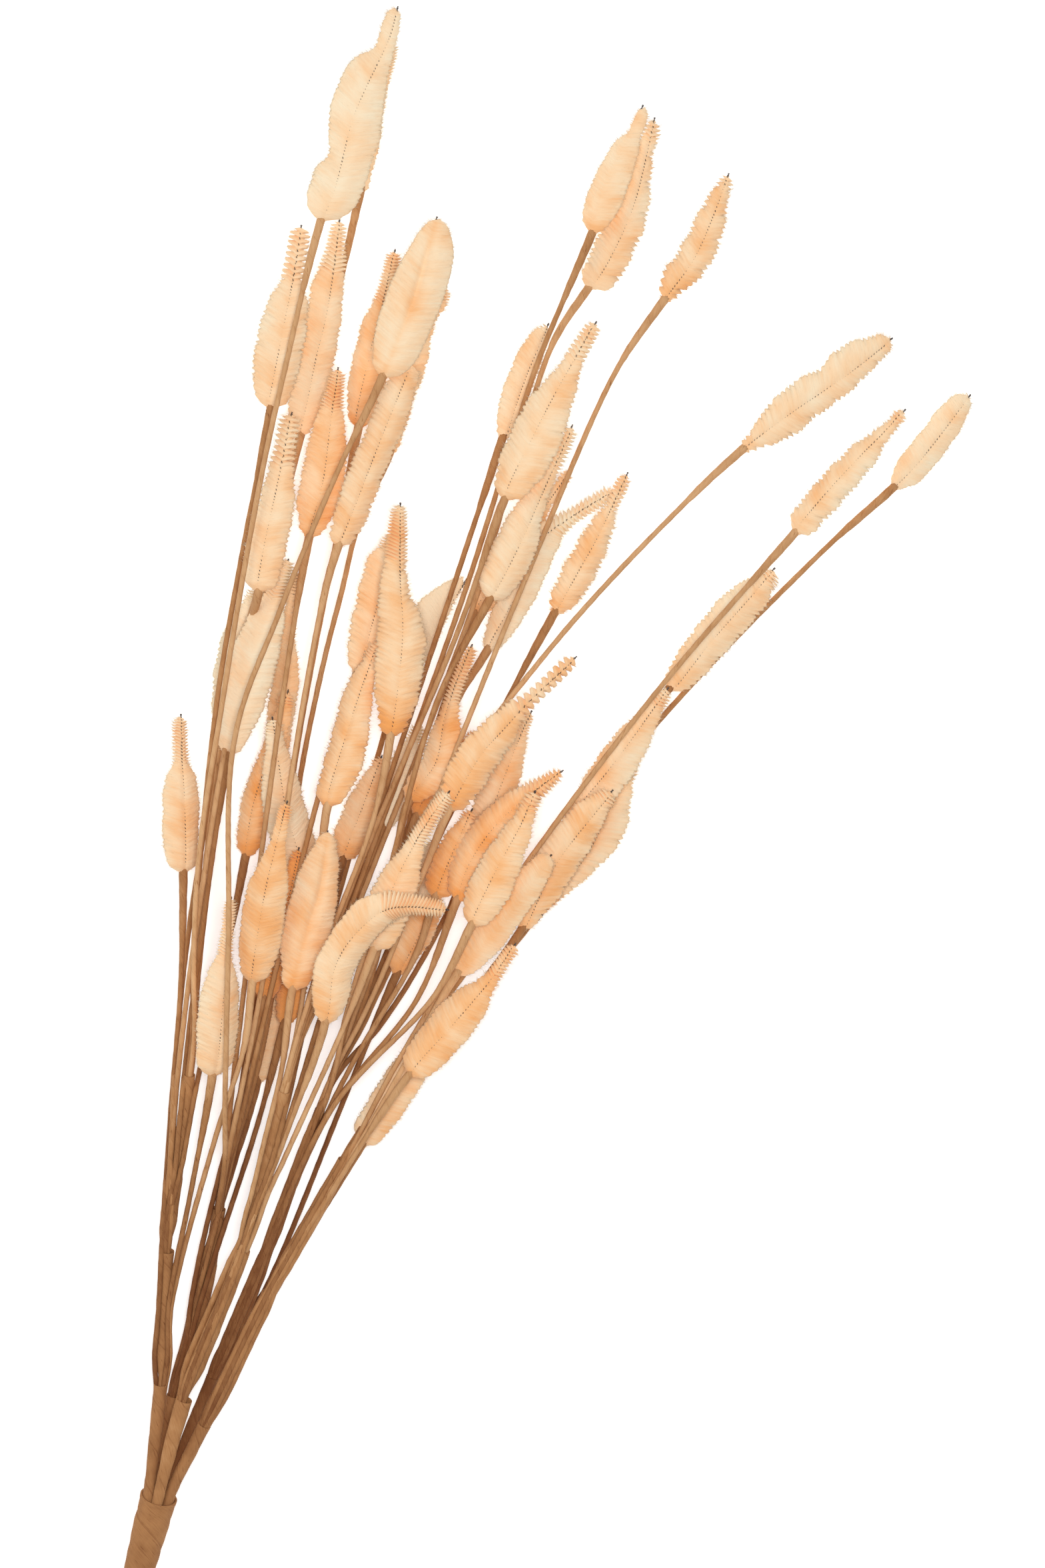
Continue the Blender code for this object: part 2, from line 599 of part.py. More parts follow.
def ring(middle, along, reach, flat, sides, tilt):
    """Points round a flattened ring across the direction along."""
    reach, flat = float(reach), float(flat)
    across = along.cross(Vector((0, 0, 1))).normalized()
    up = across.cross(along)
    side = cos(tilt) * across + sin(tilt) * up
    top = cos(tilt) * up - sin(tilt) * across
    points = []
    for k in range(sides):
        turn = 2 * pi * k / sides
        point = middle + reach * cos(turn) * side + flat * sin(turn) * top
        point.z = max(0.0, point.z)
        points.append(point)
    return points


def skin(rings, tip=None):
    """A closed mesh drawn ring by ring from a first cap, ending in a flat cap
    or in one point."""
    bm = bmesh.new()
    cap = bm.faces.new([bm.verts.new(point) for point in rings[0]])
    first = cap
    for points in rings[1:]:
        grown = bmesh.ops.extrude_face_region(bm, geom=[cap])["geom"]
        if cap is not first:
            bmesh.ops.delete(bm, geom=[cap], context="FACES_ONLY")
        cap = next(item for item in grown if isinstance(item, bmesh.types.BMFace))
        for vert, point in zip(cap.verts, points):
            vert.co = point
    if tip is not None:
        bmesh.ops.pointmerge(bm, verts=cap.verts[:], merge_co=tip)
    bmesh.ops.triangulate(bm, faces=bm.faces[:], quad_method="SHORT_EDGE")
    bmesh.ops.recalc_face_normals(bm, faces=bm.faces[:])
    mesh = bpy.data.meshes.new("skin")
    bm.to_mesh(mesh)
    bm.free()
    return mesh


def material(name, colour, roughness):
    """A plain matt material in the colour of the real one."""
    made = bpy.data.materials.new(name)
    made.use_nodes = True
    shader = made.node_tree.nodes["Principled BSDF"]
    shader.inputs["Base Color"].default_value = (*colour, 1)
    shader.inputs["Roughness"].default_value = roughness
    shader.inputs["Metallic"].default_value = 0
    return made


def add(name, mesh, made):
    """An object of the mesh, with its material, in the scene."""
    thing = bpy.data.objects.new(name, mesh)
    mesh.materials.append(made)
    bpy.context.scene.collection.objects.link(thing)
    return thing


def keep_largest_shell(mesh):
    """Drop loose scraps and fill sealed hollows that joining leaves."""
    bm = bmesh.new()
    bm.from_mesh(mesh)
    left = set(bm.verts)
    shells = []
    while left:
        shell, edge = set(), [left.pop()]
        while edge:
            vert = edge.pop()
            shell.add(vert)
            for link in vert.link_edges:
                other = link.other_vert(vert)
                if other in left:
                    left.remove(other)
                    edge.append(other)
        shells.append(shell)
    shells.sort(key=len)
    for shell in shells[:-1]:
        bmesh.ops.delete(bm, geom=list(shell), context="VERTS")
    bm.to_mesh(mesh)
    bm.free()


def join(name, meshes, made):
    """One solid from several meshes that run into each other."""
    group = bpy.data.collections.new(name + "_pieces")
    bpy.context.scene.collection.children.link(group)
    for number, mesh in enumerate(meshes[1:]):
        group.objects.link(bpy.data.objects.new(f"{name}_piece_{number}", mesh))
    thing = add(name, meshes[0], made)
    union = thing.modifiers.new("union", "BOOLEAN")
    union.operation = "UNION"
    union.operand_type = "COLLECTION"
    union.collection = group
    union.solver = "MANIFOLD"
    graph = bpy.context.evaluated_depsgraph_get()
    whole = bpy.data.meshes.new_from_object(thing.evaluated_get(graph))
    thing.modifiers.clear()
    keep_largest_shell(whole)
    thing.data = whole
    for piece in list(group.objects):
        bpy.data.objects.remove(piece)
    bpy.data.collections.remove(group)
    thing.data.materials.clear()
    thing.data.materials.append(made)
    return thing


def stem_mesh(stalk):
    """A stem's taped wire, with the thicker collar under its head."""
    points = [Vector((*place, height)) for place, height in zip(stalk.stem, stalk.heights)]
    rings = []
    for i, point in enumerate(points):
        before, after = points[max(i - 1, 0)], points[min(i + 1, len(points) - 1)]
        along = (after - before).normalized()
        radius = COLLAR_RADIUS if i >= STEM_RINGS - 2 else STEM_RADIUS
        rings.append(ring(point, along, radius, radius, STEM_SIDES, 0))
    return skin(rings)


def head_line(stalk):
    """The middle line of a head, from just past its stem to the wire's end."""
    shares = np.linspace(0, 1, 30)
    places = at_runs(stalk.path, stalk.base_run + shares * stalk.length)
    heights = stalk.heights[-2] * (1 - shares) + stalk.heights[-1] * shares
    return np.column_stack([places, heights])


def head_mesh(stalk):
    """A head of pile: ridges across it by a formula, and the wire's end."""
    line = head_line(stalk)
    runs = run_of(line)
    shares = stalk.head_shares()

    def middle(share):
        return Vector(at_runs(line, [SEAT_GAP + share * (runs[-1] - SEAT_GAP)])[0])

    stem_end = Vector((*stalk.stem[-2], stalk.heights[-3]))
    base = Vector((*stalk.stem[-1], stalk.heights[-2]))
    along = (base - stem_end).normalized()
    reach = stalk.half_width * BASE_RATIO
    rings = [ring(base + along * SEAT_GAP, along, reach, reach * HEAD_FLATNESS * 1.3,
                  HEAD_SIDES, stalk.tilt)]
    body_count = 2 * BODY_TEETH
    for i, share in enumerate(shares):
        along = (middle(min(1, share + 0.03)) - middle(max(0, share - 0.03))).normalized()
        ridge = BODY_RIDGE if i < body_count else NECK_RIDGE
        swing = ridge if i % 2 == 1 else -ridge
        reach = stalk.half_width * stalk.width_share(share) * (1 + swing)
        rings.append(ring(middle(share), along, reach, reach * HEAD_FLATNESS,
                          HEAD_SIDES, stalk.tilt))
    return skin(rings, tip=middle(1))


def sheath_meshes(name, sheaths):
    """A branch's butt and taped sheaths, each ending in a mouth."""
    line, rim, mouths = sheaths[name]
    spans = [np.concatenate([np.linspace(0, rim, 3), np.linspace(rim, mouths[0], 4)[1:]])]
    for start, end in zip(mouths, mouths[1:]):
        spans.append(np.linspace(start - ROOT_DEPTH / 2, end, SHEATH_SPANS + 1))
    meshes = []
    for number, runs in enumerate(spans):
        points = at_runs(line, runs)
        if number > 0:
            points[0, 3] *= TUCKED_SHARE
        rings = []
        for i, point in enumerate(points):
            before, after = points[max(i - 1, 0)], points[min(i + 1, len(points) - 1)]
            along = Vector(after[:3] - before[:3]).normalized()
            if number == 0 and i == 0:
                along = wrap_frame()[0]
            rings.append(ring(Vector(point[:3]), along, point[3], point[3], SHEATH_SIDES, 0))
        meshes.append(skin(rings))
    return meshes


def wrap_mesh():
    """The tape wrap: a tapered tube with a flat facet on the table."""
    cut, rim = wrap_axis()
    along, across, up = wrap_frame()
    bm = bmesh.new()
    loops = []
    for wall in (0, WRAP_WALL):
        for middle, radius in ((cut, WRAP_RADIUS_CUT), (rim, WRAP_RADIUS_RIM)):
            verts = []
            for k in range(WRAP_SIDES):
                turn = 2 * pi * (k + 0.5) / WRAP_SIDES
                spoke = cos(turn) * across + sin(turn) * up
                point = middle + (radius - wall) * spoke
                if abs(point.z) < SEAT_GAP / 2:
                    point.z = 0
                verts.append(bm.verts.new(point))
            loops.append(verts)
    outer_cut, outer_rim, inner_cut, inner_rim = loops
    for one, two in ((outer_cut, outer_rim), (outer_rim, inner_rim),
                     (inner_rim, inner_cut), (inner_cut, outer_cut)):
        for k in range(WRAP_SIDES):
            n = (k + 1) % WRAP_SIDES
            bm.faces.new((one[k], one[n], two[n], two[k]))
    bmesh.ops.triangulate(bm, faces=bm.faces[:])
    bmesh.ops.recalc_face_normals(bm, faces=bm.faces[:])
    mesh = bpy.data.meshes.new("wrap")
    bm.to_mesh(mesh)
    bm.free()
    return mesh


def stand_on_origin(things):
    """Move every mesh so that the origin is under the middle of the spray."""
    corners = np.array([vert.co for thing in things for vert in thing.data.vertices])
    low, high = corners.min(axis=0), corners.max(axis=0)
    shift = Matrix.Translation((-(low[0] + high[0]) / 2, -(low[1] + high[1]) / 2, -low[2]))
    for thing in things:
        thing.data.transform(shift)


def main():
    for thing in list(bpy.data.objects):
        bpy.data.objects.remove(thing)
    tape = material("tape", TAPE_BROWN, 0.8)
    pile = material("pile", PILE_PEACH, 0.9)
    stalks, sheaths = layout()
    things = [add("main_wrap", wrap_mesh(), tape)]
    for name in BRANCHES:
        meshes = sheath_meshes(name, sheaths)
        meshes += [stem_mesh(stalk) for stalk in stalks if stalk.head.branch == name]
        things.append(join("branch_" + name, meshes, tape))
    by_name = {stalk.name: stalk for stalk in stalks}
    pressed_on = {own: other for other, own in PRESSED.items()}
    for name, stalk in by_name.items():
        if name in PRESSED:
            continue
        if name in pressed_on:
            pair = [head_mesh(stalk), head_mesh(by_name[pressed_on[name]])]
            things.append(join("head_" + name, pair, pile))
        else:
            things.append(add("head_" + name, head_mesh(stalk), pile))
    stand_on_origin(things)


main()
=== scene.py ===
"""The looks of an artificial bunny tail grass spray, lying on a table.

Fluffy heads of chenille pile, twisted in dark wire, stand on paper-taped wire
stems. The stems leave five taped branch sheaths at their mouths, and a thick
tape wrap holds the branch butts together. The first half of the script lays
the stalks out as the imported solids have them, from pixels of the photograph,
and the second half dresses them.
"""
from collections import namedtuple
from functools import lru_cache
from math import cos, pi, radians, sin

import bmesh
import bpy
import numpy as np
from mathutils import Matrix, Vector


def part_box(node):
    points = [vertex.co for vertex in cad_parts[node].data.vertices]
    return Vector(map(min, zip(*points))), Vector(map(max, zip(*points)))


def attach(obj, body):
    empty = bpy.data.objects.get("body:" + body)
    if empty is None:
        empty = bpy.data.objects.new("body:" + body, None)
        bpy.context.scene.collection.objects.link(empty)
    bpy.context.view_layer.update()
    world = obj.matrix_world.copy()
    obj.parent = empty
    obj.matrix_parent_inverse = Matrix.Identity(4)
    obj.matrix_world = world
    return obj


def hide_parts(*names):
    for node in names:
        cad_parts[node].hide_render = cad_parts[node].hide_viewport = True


bl_info = {
    "name": "Artificial bunny tail grass spray",
    "version": (1, 0, 0),
    "blender": (4, 5, 0),
    "location": "View3D > Sidebar > Spray",
    "description": "Dresses a spray of chenille heads on paper-taped wire stems",
    "category": "Object",
}

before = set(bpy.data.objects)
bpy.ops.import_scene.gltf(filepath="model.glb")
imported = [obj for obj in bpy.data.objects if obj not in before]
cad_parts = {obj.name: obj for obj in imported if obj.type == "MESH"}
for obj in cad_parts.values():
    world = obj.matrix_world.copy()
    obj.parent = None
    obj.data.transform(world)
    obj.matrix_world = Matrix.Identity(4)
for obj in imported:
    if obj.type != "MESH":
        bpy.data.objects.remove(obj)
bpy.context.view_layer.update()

# Scale and middle of the photograph, whose pixels place the stalks
PIXEL = 0.00033
PHOTO_MIDDLE = (784, 1176)
PHOTO_HEIGHT = 2352

# Wrap round the branch butts, along its axis from the cut end to the rim
WRAP_CUT = (189, 2425)
WRAP_RIM = (237, 2247)
WRAP_RADIUS_CUT = 0.0074
WRAP_RADIUS_RIM = 0.0096
WRAP_WALL = 0.0008
WRAP_SIDES = 12
BUTT_RADIUS_CUT = 0.0021
BUTT_RADIUS_RIM = 0.0029
BUTT_SPACE = 0.0004

# Stems: thin taped wire, with a thicker taped stretch under each head
STEM_RADIUS = 0.0015
COLLAR_RADIUS = 0.0026
COLLAR_LENGTH = 0.028
COLLAR_STEP = 0.004
ROOT_DEPTH = 0.012
ROOT_STAGGER = 0.0015
ROOT_SPREAD = 0.0011
ROOT_TURN = 2.4
STEM_RINGS = 8
LINE_STEPS = 24

# Heads: flattened pile with a narrow bristly neck
HEAD_FLATNESS = 0.56
BODY_RIDGE = 0.05
BASE_RATIO = 0.45
BELLY = 0.3
HEAD_TILT = 20
TILT_CHANGE = 1.7

# Layers: heads and stems lie over each other with clear air between them
SEAT_GAP = 0.0003
CLEAR_AIR = 0.0009
LAYER_NEAR = 0.0045
LAYER_GROWTH = 0.0115
LOWEST_HEAD = 1.2
STEM_RISE = 0.9
FLAT_SPOT = 0.0004
FLOOR_SHARE = HEAD_FLATNESS + 0.12
SHARED_ROOT = 0.05
SAMPLE_STEP = 0.005
ROUNDS = 2000
SPRING = 0.5
SPRING_STOPS = 0.93
PRESSED_NEAREST = 0.75
PRESSED_FARTHEST = 0.88

# Samples taken along sheaths, stems and heads to find where they cross
SHEATH, STEM, HEAD = 0, 1, 2
SAMPLE = np.dtype([
    ("owner", int), ("branch", int), ("kind", int), ("place", float, 2), ("wide", float),
    ("thick", float), ("low", int), ("share", float), ("run", float)])

# Branch sheaths: the turn of each butt round the wrap's axis in degrees, the route
# from the wrap's rim as pixels with height and radius in millimetres, and the
# numbers of the route's points where a mouth lets stems out
Branch = namedtuple("Branch", "turn route mouths")
BRANCHES = {
    "left_front": Branch(162, [
        (224, 2228, 11.0, 2.8), (240, 2077, 13.5, 3.5),
        (250, 1877, 18.0, 3.7), (284, 1612, 27.0, 3.0)], (1, 2, 3)),
    "left_back": Branch(234, [
        (232, 2230, 4.7, 2.7), (258, 2095, 5.6, 3.0),
        (303, 1960, 8.0, 3.0), (328, 1814, 11.0, 3.3)], (1, 3)),
    "middle": Branch(90, [
        (241, 2230, 15.3, 2.9), (276, 2100, 20.0, 4.2),
        (365, 1874, 29.0, 3.5), (427, 1636, 40.0, 2.9)], (1, 2, 3)),
    "right_back": Branch(306, [
        (250, 2234, 4.7, 2.7), (318, 2067, 7.0, 3.1),
        (394, 1887, 10.0, 3.0), (480, 1665, 16.0, 2.6)], (1, 2, 3)),
    "right_front": Branch(18, [
        (257, 2236, 11.3, 2.8), (306, 2138, 15.5, 3.4),
        (402, 1940, 23.5, 3.1), (515, 1740, 31.0, 2.7)], (1, 2, 3)),
}

# The heads of each branch in the order of their numbers: mouth, layer up from
# the table, width and tip width in pixels, share of the length that is neck,
# points that the stem passes, and points that the head passes to its tip
Head = namedtuple("Head", "branch mouth layer width tip neck stem axis")
HEAD_ROWS = {
    "left_front": [
        (3, 7, 85, 33, 0.24, [(297, 1306), (331, 1073), (401, 675)],
         [(485, 334), (504, 282), (530, 181), (550, 131), (583, 57), (594, 13)]),
        (3, 0, 60, 24, 0.25, [(322, 1250), (400, 860), (488, 520)],
         [(547, 290), (572, 175), (590, 60)]),
        (3, 4, 74, 24, 0.33, [(292, 1398), (326, 1050), (369, 799)],
         [(401, 613), (424, 493), (439, 420), (452, 340)]),
        (3, 3, 62, 24, 0.26, [(304, 1330), (352, 1010), (415, 790)],
         [(450, 655), (470, 541), (488, 461), (509, 330)]),
        (2, 5, 62, 24, 0.32, [(268, 1600), (310, 1290), (362, 990)],
         [(386, 888), (399, 819), (418, 728), (438, 621)]),
        (2, 3, 78, 24, 0.22, [(282, 1560), (322, 1260)],
         [(342, 1134), (365, 1040), (400, 930), (432, 841)]),
        (2, 2, 50, 22, 0.12, [(270, 1500), (308, 1230)], [(330, 1107), (356, 1000), (390, 880)]),
        (1, 3, 57, 20, 0.32, [(239, 1941), (255, 1678), (272, 1470)],
         [(278, 1310), (272, 1147), (271, 1073)]),
        (2, 2, 48, 22, 0.1, [(300, 1600), (345, 1400)],
         [(367, 1287), (382, 1208), (419, 1092), (432, 1037)]),
        (1, 7, 65, 26, 0.12, [(262, 1930), (325, 1700), (366, 1570)],
         [(378, 1474), (390, 1398), (404, 1321), (432, 1204)]),
        (1, 7, 66, 20, 0.34, [(252, 1960), (288, 1780)],
         [(320, 1615), (330, 1494), (342, 1402), (348, 1347)]),
    ],
    "left_back": [
        (2, 4, 65, 24, 0.26, [(352, 1600), (410, 1150)],
         [(462, 808), (484, 721), (495, 638), (507, 553)]),
        (2, 1, 60, 20, 0.32, [(372, 1590), (452, 1080), (505, 800)],
         [(533, 640), (555, 545), (577, 450), (592, 375)]),
        (2, 9, 82, 36, 0.07, [(344, 1420), (353, 1107), (418, 923), (507, 707)],
         [(573, 566), (615, 455), (659, 330)]),
        (2, 6, 65, 30, 0.1, [(400, 1440), (441, 1141), (487, 887)],
         [(506, 820), (530, 757), (556, 689), (596, 590), (616, 545)]),
        (2, 3, 60, 30, 0.1, [(396, 1560), (458, 1120), (540, 805)],
         [(600, 690), (645, 520), (676, 434)]),
        (2, 1, 62, 24, 0.15, [(360, 1640), (402, 1350)], [(425, 1150), (440, 1000), (452, 858)]),
        (1, 3, 65, 26, 0.1, [(318, 1860), (400, 1520)], [(450, 1330), (424, 1202), (409, 1078)]),
        (1, 3, 50, 24, 0.1, [(300, 1880), (350, 1680)], [(394, 1503), (434, 1337), (448, 1274)]),
        (1, 2, 45, 24, 0.1, [(320, 1890), (385, 1690)], [(425, 1540), (450, 1430), (470, 1330)]),
        (1, 0, 50, 24, 0.1, [(296, 1920), (350, 1750)], [(385, 1625), (408, 1530), (425, 1440)]),
        (2, 4, 62, 24, 0.16, [(408, 1480), (490, 1150)],
         [(534, 1014), (550, 953), (568, 883), (590, 800)]),
    ],
    "middle": [
        (3, 6, 72, 20, 0.26, [(486, 1430), (560, 1230)],
         [(586, 1105), (603, 951), (600, 870), (601, 757)]),
        (3, 5, 75, 22, 0.14, [(450, 1520), (478, 1330)],
         [(491, 1212), (518, 1122), (544, 1037), (569, 962)]),
        (2, 1, 50, 24, 0.12, [(420, 1700), (486, 1400)], [(513, 1292), (544, 1210), (572, 1135)]),
        (3, 0, 60, 30, 0.08, [(480, 1440), (568, 1140)], [(620, 1005), (660, 930), (700, 868)]),
        (2, 1, 42, 20, 0.2, [(430, 1690), (532, 1360)], [(572, 1245), (609, 1135), (632, 1086)]),
        (3, 5, 72, 28, 0.1, [(552, 1290), (700, 880), (804, 552), (849, 437)],
         [(885, 350), (915, 270), (964, 160)]),
        (3, 3, 60, 20, 0.14, [(556, 1310), (706, 920), (829, 521)],
         [(885, 434), (915, 384), (950, 305), (982, 178)]),
        (3, 1, 48, 24, 0.08, [(530, 1330), (690, 850)], [(752, 662), (780, 570), (822, 487)]),
        (3, 5, 76, 24, 0.24, [(520, 1350), (690, 940)],
         [(757, 750), (802, 660), (844, 576), (894, 485)]),
        (2, 6, 70, 24, 0.38, [(426, 1740), (520, 1530)],
         [(560, 1425), (600, 1315), (634, 1248), (674, 1188)]),
        (1, 9, 66, 20, 0.34, [(340, 1930), (430, 1700)],
         [(488, 1536), (500, 1450), (530, 1400), (575, 1363), (611, 1358), (671, 1364)]),
        (2, 6, 78, 34, 0.06, [(388, 1750), (420, 1610)],
         [(435, 1486), (462, 1381), (477, 1337), (492, 1248)]),
    ],
    "right_back": [
        (3, 3, 62, 20, 0.38, [(530, 1500), (590, 1300)],
         [(613, 1204), (657, 1147), (672, 1065), (708, 968)]),
        (3, 4, 50, 20, 0.1, [(620, 1290), (800, 840), (924, 558)],
         [(994, 455), (1044, 387), (1070, 328), (1093, 262)]),
        (3, 4, 72, 24, 0.26, [(560, 1400), (658, 1046)],
         [(733, 900), (770, 827), (815, 733), (858, 640)]),
        (3, 1, 55, 24, 0.1, [(556, 1440), (660, 1070)], [(710, 922), (790, 800), (856, 705)]),
        (3, 2, 60, 20, 0.36, [(580, 1390), (681, 1060)],
         [(729, 979), (780, 890), (815, 812), (853, 780), (922, 737)]),
        (3, 2, 50, 22, 0.26, [(610, 1360), (761, 1051)],
         [(831, 923), (864, 862), (895, 807), (941, 711)]),
        (3, 4, 62, 24, 0.08, [(600, 1290), (823, 976), (1035, 747)],
         [(1110, 677), (1180, 620), (1258, 567), (1338, 508)]),
        (2, 6, 70, 26, 0.16, [(500, 1660), (650, 1495)],
         [(706, 1388), (750, 1300), (784, 1235), (803, 1188)]),
        (2, 4, 62, 24, 0.27, [(496, 1666), (625, 1500)],
         [(684, 1354), (710, 1291), (750, 1235), (803, 1188), (843, 1157)]),
        (3, 5, 64, 24, 0.42, [(570, 1470), (641, 1293)],
         [(672, 1215), (719, 1131), (756, 1090), (796, 1049), (863, 987)]),
        (3, 2, 55, 24, 0.2, [(610, 1480), (690, 1330)],
         [(718, 1262), (756, 1162), (781, 1101), (797, 1068)]),
        (3, 2, 55, 24, 0.12, [(540, 1520), (600, 1310)], [(624, 1226), (672, 1160), (718, 1098)]),
        (2, 3, 50, 24, 0.14, [(520, 1612), (625, 1430)], [(652, 1348), (680, 1280), (708, 1215)]),
        (1, 2, 62, 26, 0.12, [(400, 1930), (520, 1640)], [(594, 1466), (614, 1425), (655, 1340)]),
        (3, 1, 50, 24, 0.1, [(520, 1590), (562, 1499)], [(605, 1400), (628, 1330), (650, 1260)]),
    ],
    "right_front": [
        (3, 5, 52, 22, 0.1, [(640, 1520), (793, 1291), (1000, 1020)],
         [(1192, 800), (1255, 728), (1328, 649), (1357, 616)]),
        (3, 0, 52, 28, 0.08, [(680, 1470), (991, 1079), (1237, 825)],
         [(1338, 735), (1383, 689), (1457, 592)]),
        (3, 2, 58, 24, 0.12, [(700, 1440), (900, 1170)], [(1003, 1034), (1074, 948), (1166, 858)]),
        (3, 2, 62, 24, 0.15, [(640, 1540), (780, 1350)],
         [(848, 1238), (915, 1156), (957, 1099), (1002, 1033)]),
        (3, 1, 66, 26, 0.1, [(660, 1560), (750, 1450)], [(812, 1375), (891, 1272), (949, 1144)]),
        (3, 3, 66, 24, 0.1, [(640, 1580), (730, 1470)],
         [(784, 1397), (808, 1343), (839, 1284), (918, 1187)]),
        (2, 5, 66, 34, 0.06, [(560, 1680), (640, 1540)], [(684, 1465), (750, 1385), (826, 1284)]),
        (2, 7, 66, 22, 0.27, [(470, 1830), (578, 1664)],
         [(615, 1613), (690, 1530), (741, 1465), (773, 1416)]),
        (1, 4, 68, 26, 0.1, [(400, 1960), (490, 1810)], [(545, 1720), (600, 1640), (680, 1520)]),
    ],
}


def by_name(table):
    """The rows of a table by branch as a table by head."""
    return {f"{branch}_{number:02d}": row for branch, rows in table.items()
            for number, row in enumerate(rows, 1)}


HEADS = {name: Head(name[:-3], *row) for name, row in by_name(HEAD_ROWS).items()}

# Heads pressed against a neighbour under or beside them, in one piece with it
PRESSED = {
    "left_back_09": "left_back_08",
    "right_back_04": "right_back_05",
    "right_back_12": "right_back_01",
    "right_back_13": "right_back_09",
}

# Heads that carry the spray's far end on the table
RESTING = ("left_front_02", "right_front_02", "middle_04")


def on_table(point):
    """A photograph pixel as a place on the table, in metres."""
    return ((point[0] - PHOTO_MIDDLE[0]) * PIXEL, (PHOTO_MIDDLE[1] - point[1]) * PIXEL)


def hermite(u, width, low, high, low_slope, high_slope):
    """Values a share u of the way from low to high, with the slopes given there."""
    return ((2 * u**3 - 3 * u**2 + 1) * low + (u**3 - 2 * u**2 + u) * width * low_slope
            + (3 * u**2 - 2 * u**3) * high + (u**3 - u**2) * width * high_slope)


def smooth_line(points):
    """A smooth curve through the points, as closely spaced points."""
    points = np.array(points, float)
    chords = np.linalg.norm(np.diff(points, axis=0), axis=1)
    knots = np.concatenate([[0], np.cumsum(np.sqrt(chords))])
    slopes = np.gradient(points, knots, axis=0)
    u = np.linspace(0, 1, LINE_STEPS, endpoint=False)[:, None]
    spans = [hermite(u, knots[i + 1] - knots[i], points[i], points[i + 1], slopes[i], slopes[i + 1])
             for i in range(len(points) - 1)]
    return np.vstack(spans + [points[-1:]])


def run_of(line):
    """The distance along a line at each of its points."""
    return np.concatenate([[0], np.cumsum(np.linalg.norm(np.diff(line, axis=0), axis=1))])


def at_runs(line, runs):
    """The line's points at the given distances along it."""
    own = run_of(line)
    return np.column_stack([np.interp(runs, own, column) for column in line.T])


def wrap_axis():
    """The wrap's axis at its cut end and its rim, a flat facet on the table."""
    apothem = cos(pi / WRAP_SIDES)
    ends = []
    for pixel, radius in ((WRAP_CUT, WRAP_RADIUS_CUT), (WRAP_RIM, WRAP_RADIUS_RIM)):
        ends.append(Vector((*on_table(pixel), radius * apothem)))
    return ends


def wrap_frame():
    """The wrap's own directions: along it, across it and upwards."""
    cut, rim = wrap_axis()
    along = (rim - cut).normalized()
    across = along.cross(Vector((0, 0, 1))).normalized()
    return along, across, across.cross(along)


def butt_place(name, end):
    """The middle and radius of a branch butt at the wrap's cut end or rim."""
    radius = (BUTT_RADIUS_CUT, BUTT_RADIUS_RIM)[end]
    ring = (radius + BUTT_SPACE / 2) / sin(pi / len(BRANCHES))
    turn = radians(BRANCHES[name].turn)
    along, across, up = wrap_frame()
    middle = wrap_axis()[end] + ring * (cos(turn) * across + sin(turn) * up)
    return middle, radius


def sheath_line(name):
    """A branch's middle line from the wrap's cut end, with its radius as a
    fourth column, and the runs along it at its mouths."""
    branch = BRANCHES[name]
    cut, cut_radius = butt_place(name, 0)
    rim, rim_radius = butt_place(name, 1)
    points = [(*cut, cut_radius), (*cut.lerp(rim, 0.5), (cut_radius + rim_radius) / 2),
              (*rim, rim_radius)]
    before = len(points)
    for x, y, height, radius in branch.route:
        points.append((*on_table((x, y)), height / 1000, radius / 1000))
    line = smooth_line(points)
    runs = run_of(line[:, :3])
    return line, [runs[(before + number) * LINE_STEPS] for number in branch.mouths]


class Stalk:
    """One stem and its head: where they lie on the table, ring by ring."""

    def __init__(self, number, name, head, sheaths):
        self.name, self.head = name, head
        line, mouths = sheaths[head.branch]
        mouth = mouths[head.mouth - 1]
        turn = number * ROOT_TURN
        root, exit_point = at_runs(line, [mouth - ROOT_DEPTH - ROOT_STAGGER * (number % 4), mouth])
        lean = exit_point[:2] - root[:2]
        across = np.array([lean[1], -lean[0]]) / np.linalg.norm(lean)
        shift = ROOT_SPREAD * cos(turn) * across
        self.root_height = root[2] + ROOT_SPREAD * sin(turn)
        places = [root[:2] + shift, exit_point[:2] + shift]
        places += [on_table(pixel) for pixel in head.stem]
        base = len(places)
        places += [on_table(pixel) for pixel in head.axis]
        path = smooth_line(places)
        runs = run_of(path)
        base_run = runs[base * LINE_STEPS]
        self.stem_runs = np.concatenate([
            np.linspace(0, base_run - COLLAR_LENGTH - COLLAR_STEP, STEM_RINGS - 2),
            [base_run - COLLAR_LENGTH, base_run]])
        self.path, self.length = path, runs[-1] - base_run
        self.base_run = base_run
        self.stem = at_runs(path, self.stem_runs)
        self.tilt = radians(HEAD_TILT) * sin(number * TILT_CHANGE)
        self.half_width = head.width * PIXEL / 2

    def width_share(self, share):
        """The head's half width there as a share of its widest half width."""
        head = self.head
        neck_ratio = head.tip / head.width
        body = 1 - head.neck
        if share >= body:
            return neck_ratio * (1 - 0.25 * (share - body) / head.neck)
        u = share / body
        if u < BELLY:
            return BASE_RATIO + (1 - BASE_RATIO) * sin(pi / 2 * u / BELLY) ** 0.8
        fall = cos(pi / 2 * ((u - BELLY) / (1 - BELLY)) ** 1.7)
        return neck_ratio + (1 - neck_ratio) * fall


def layout():
    """All stalks with the height of every ring, so that nothing meets."""
    sheaths = {name: sheath_line(name) for name in BRANCHES}
    stalks = [Stalk(number, name, head, sheaths)
              for number, (name, head) in enumerate(HEADS.items())]
    settle(stalks, sheaths)
    return stalks, sheaths


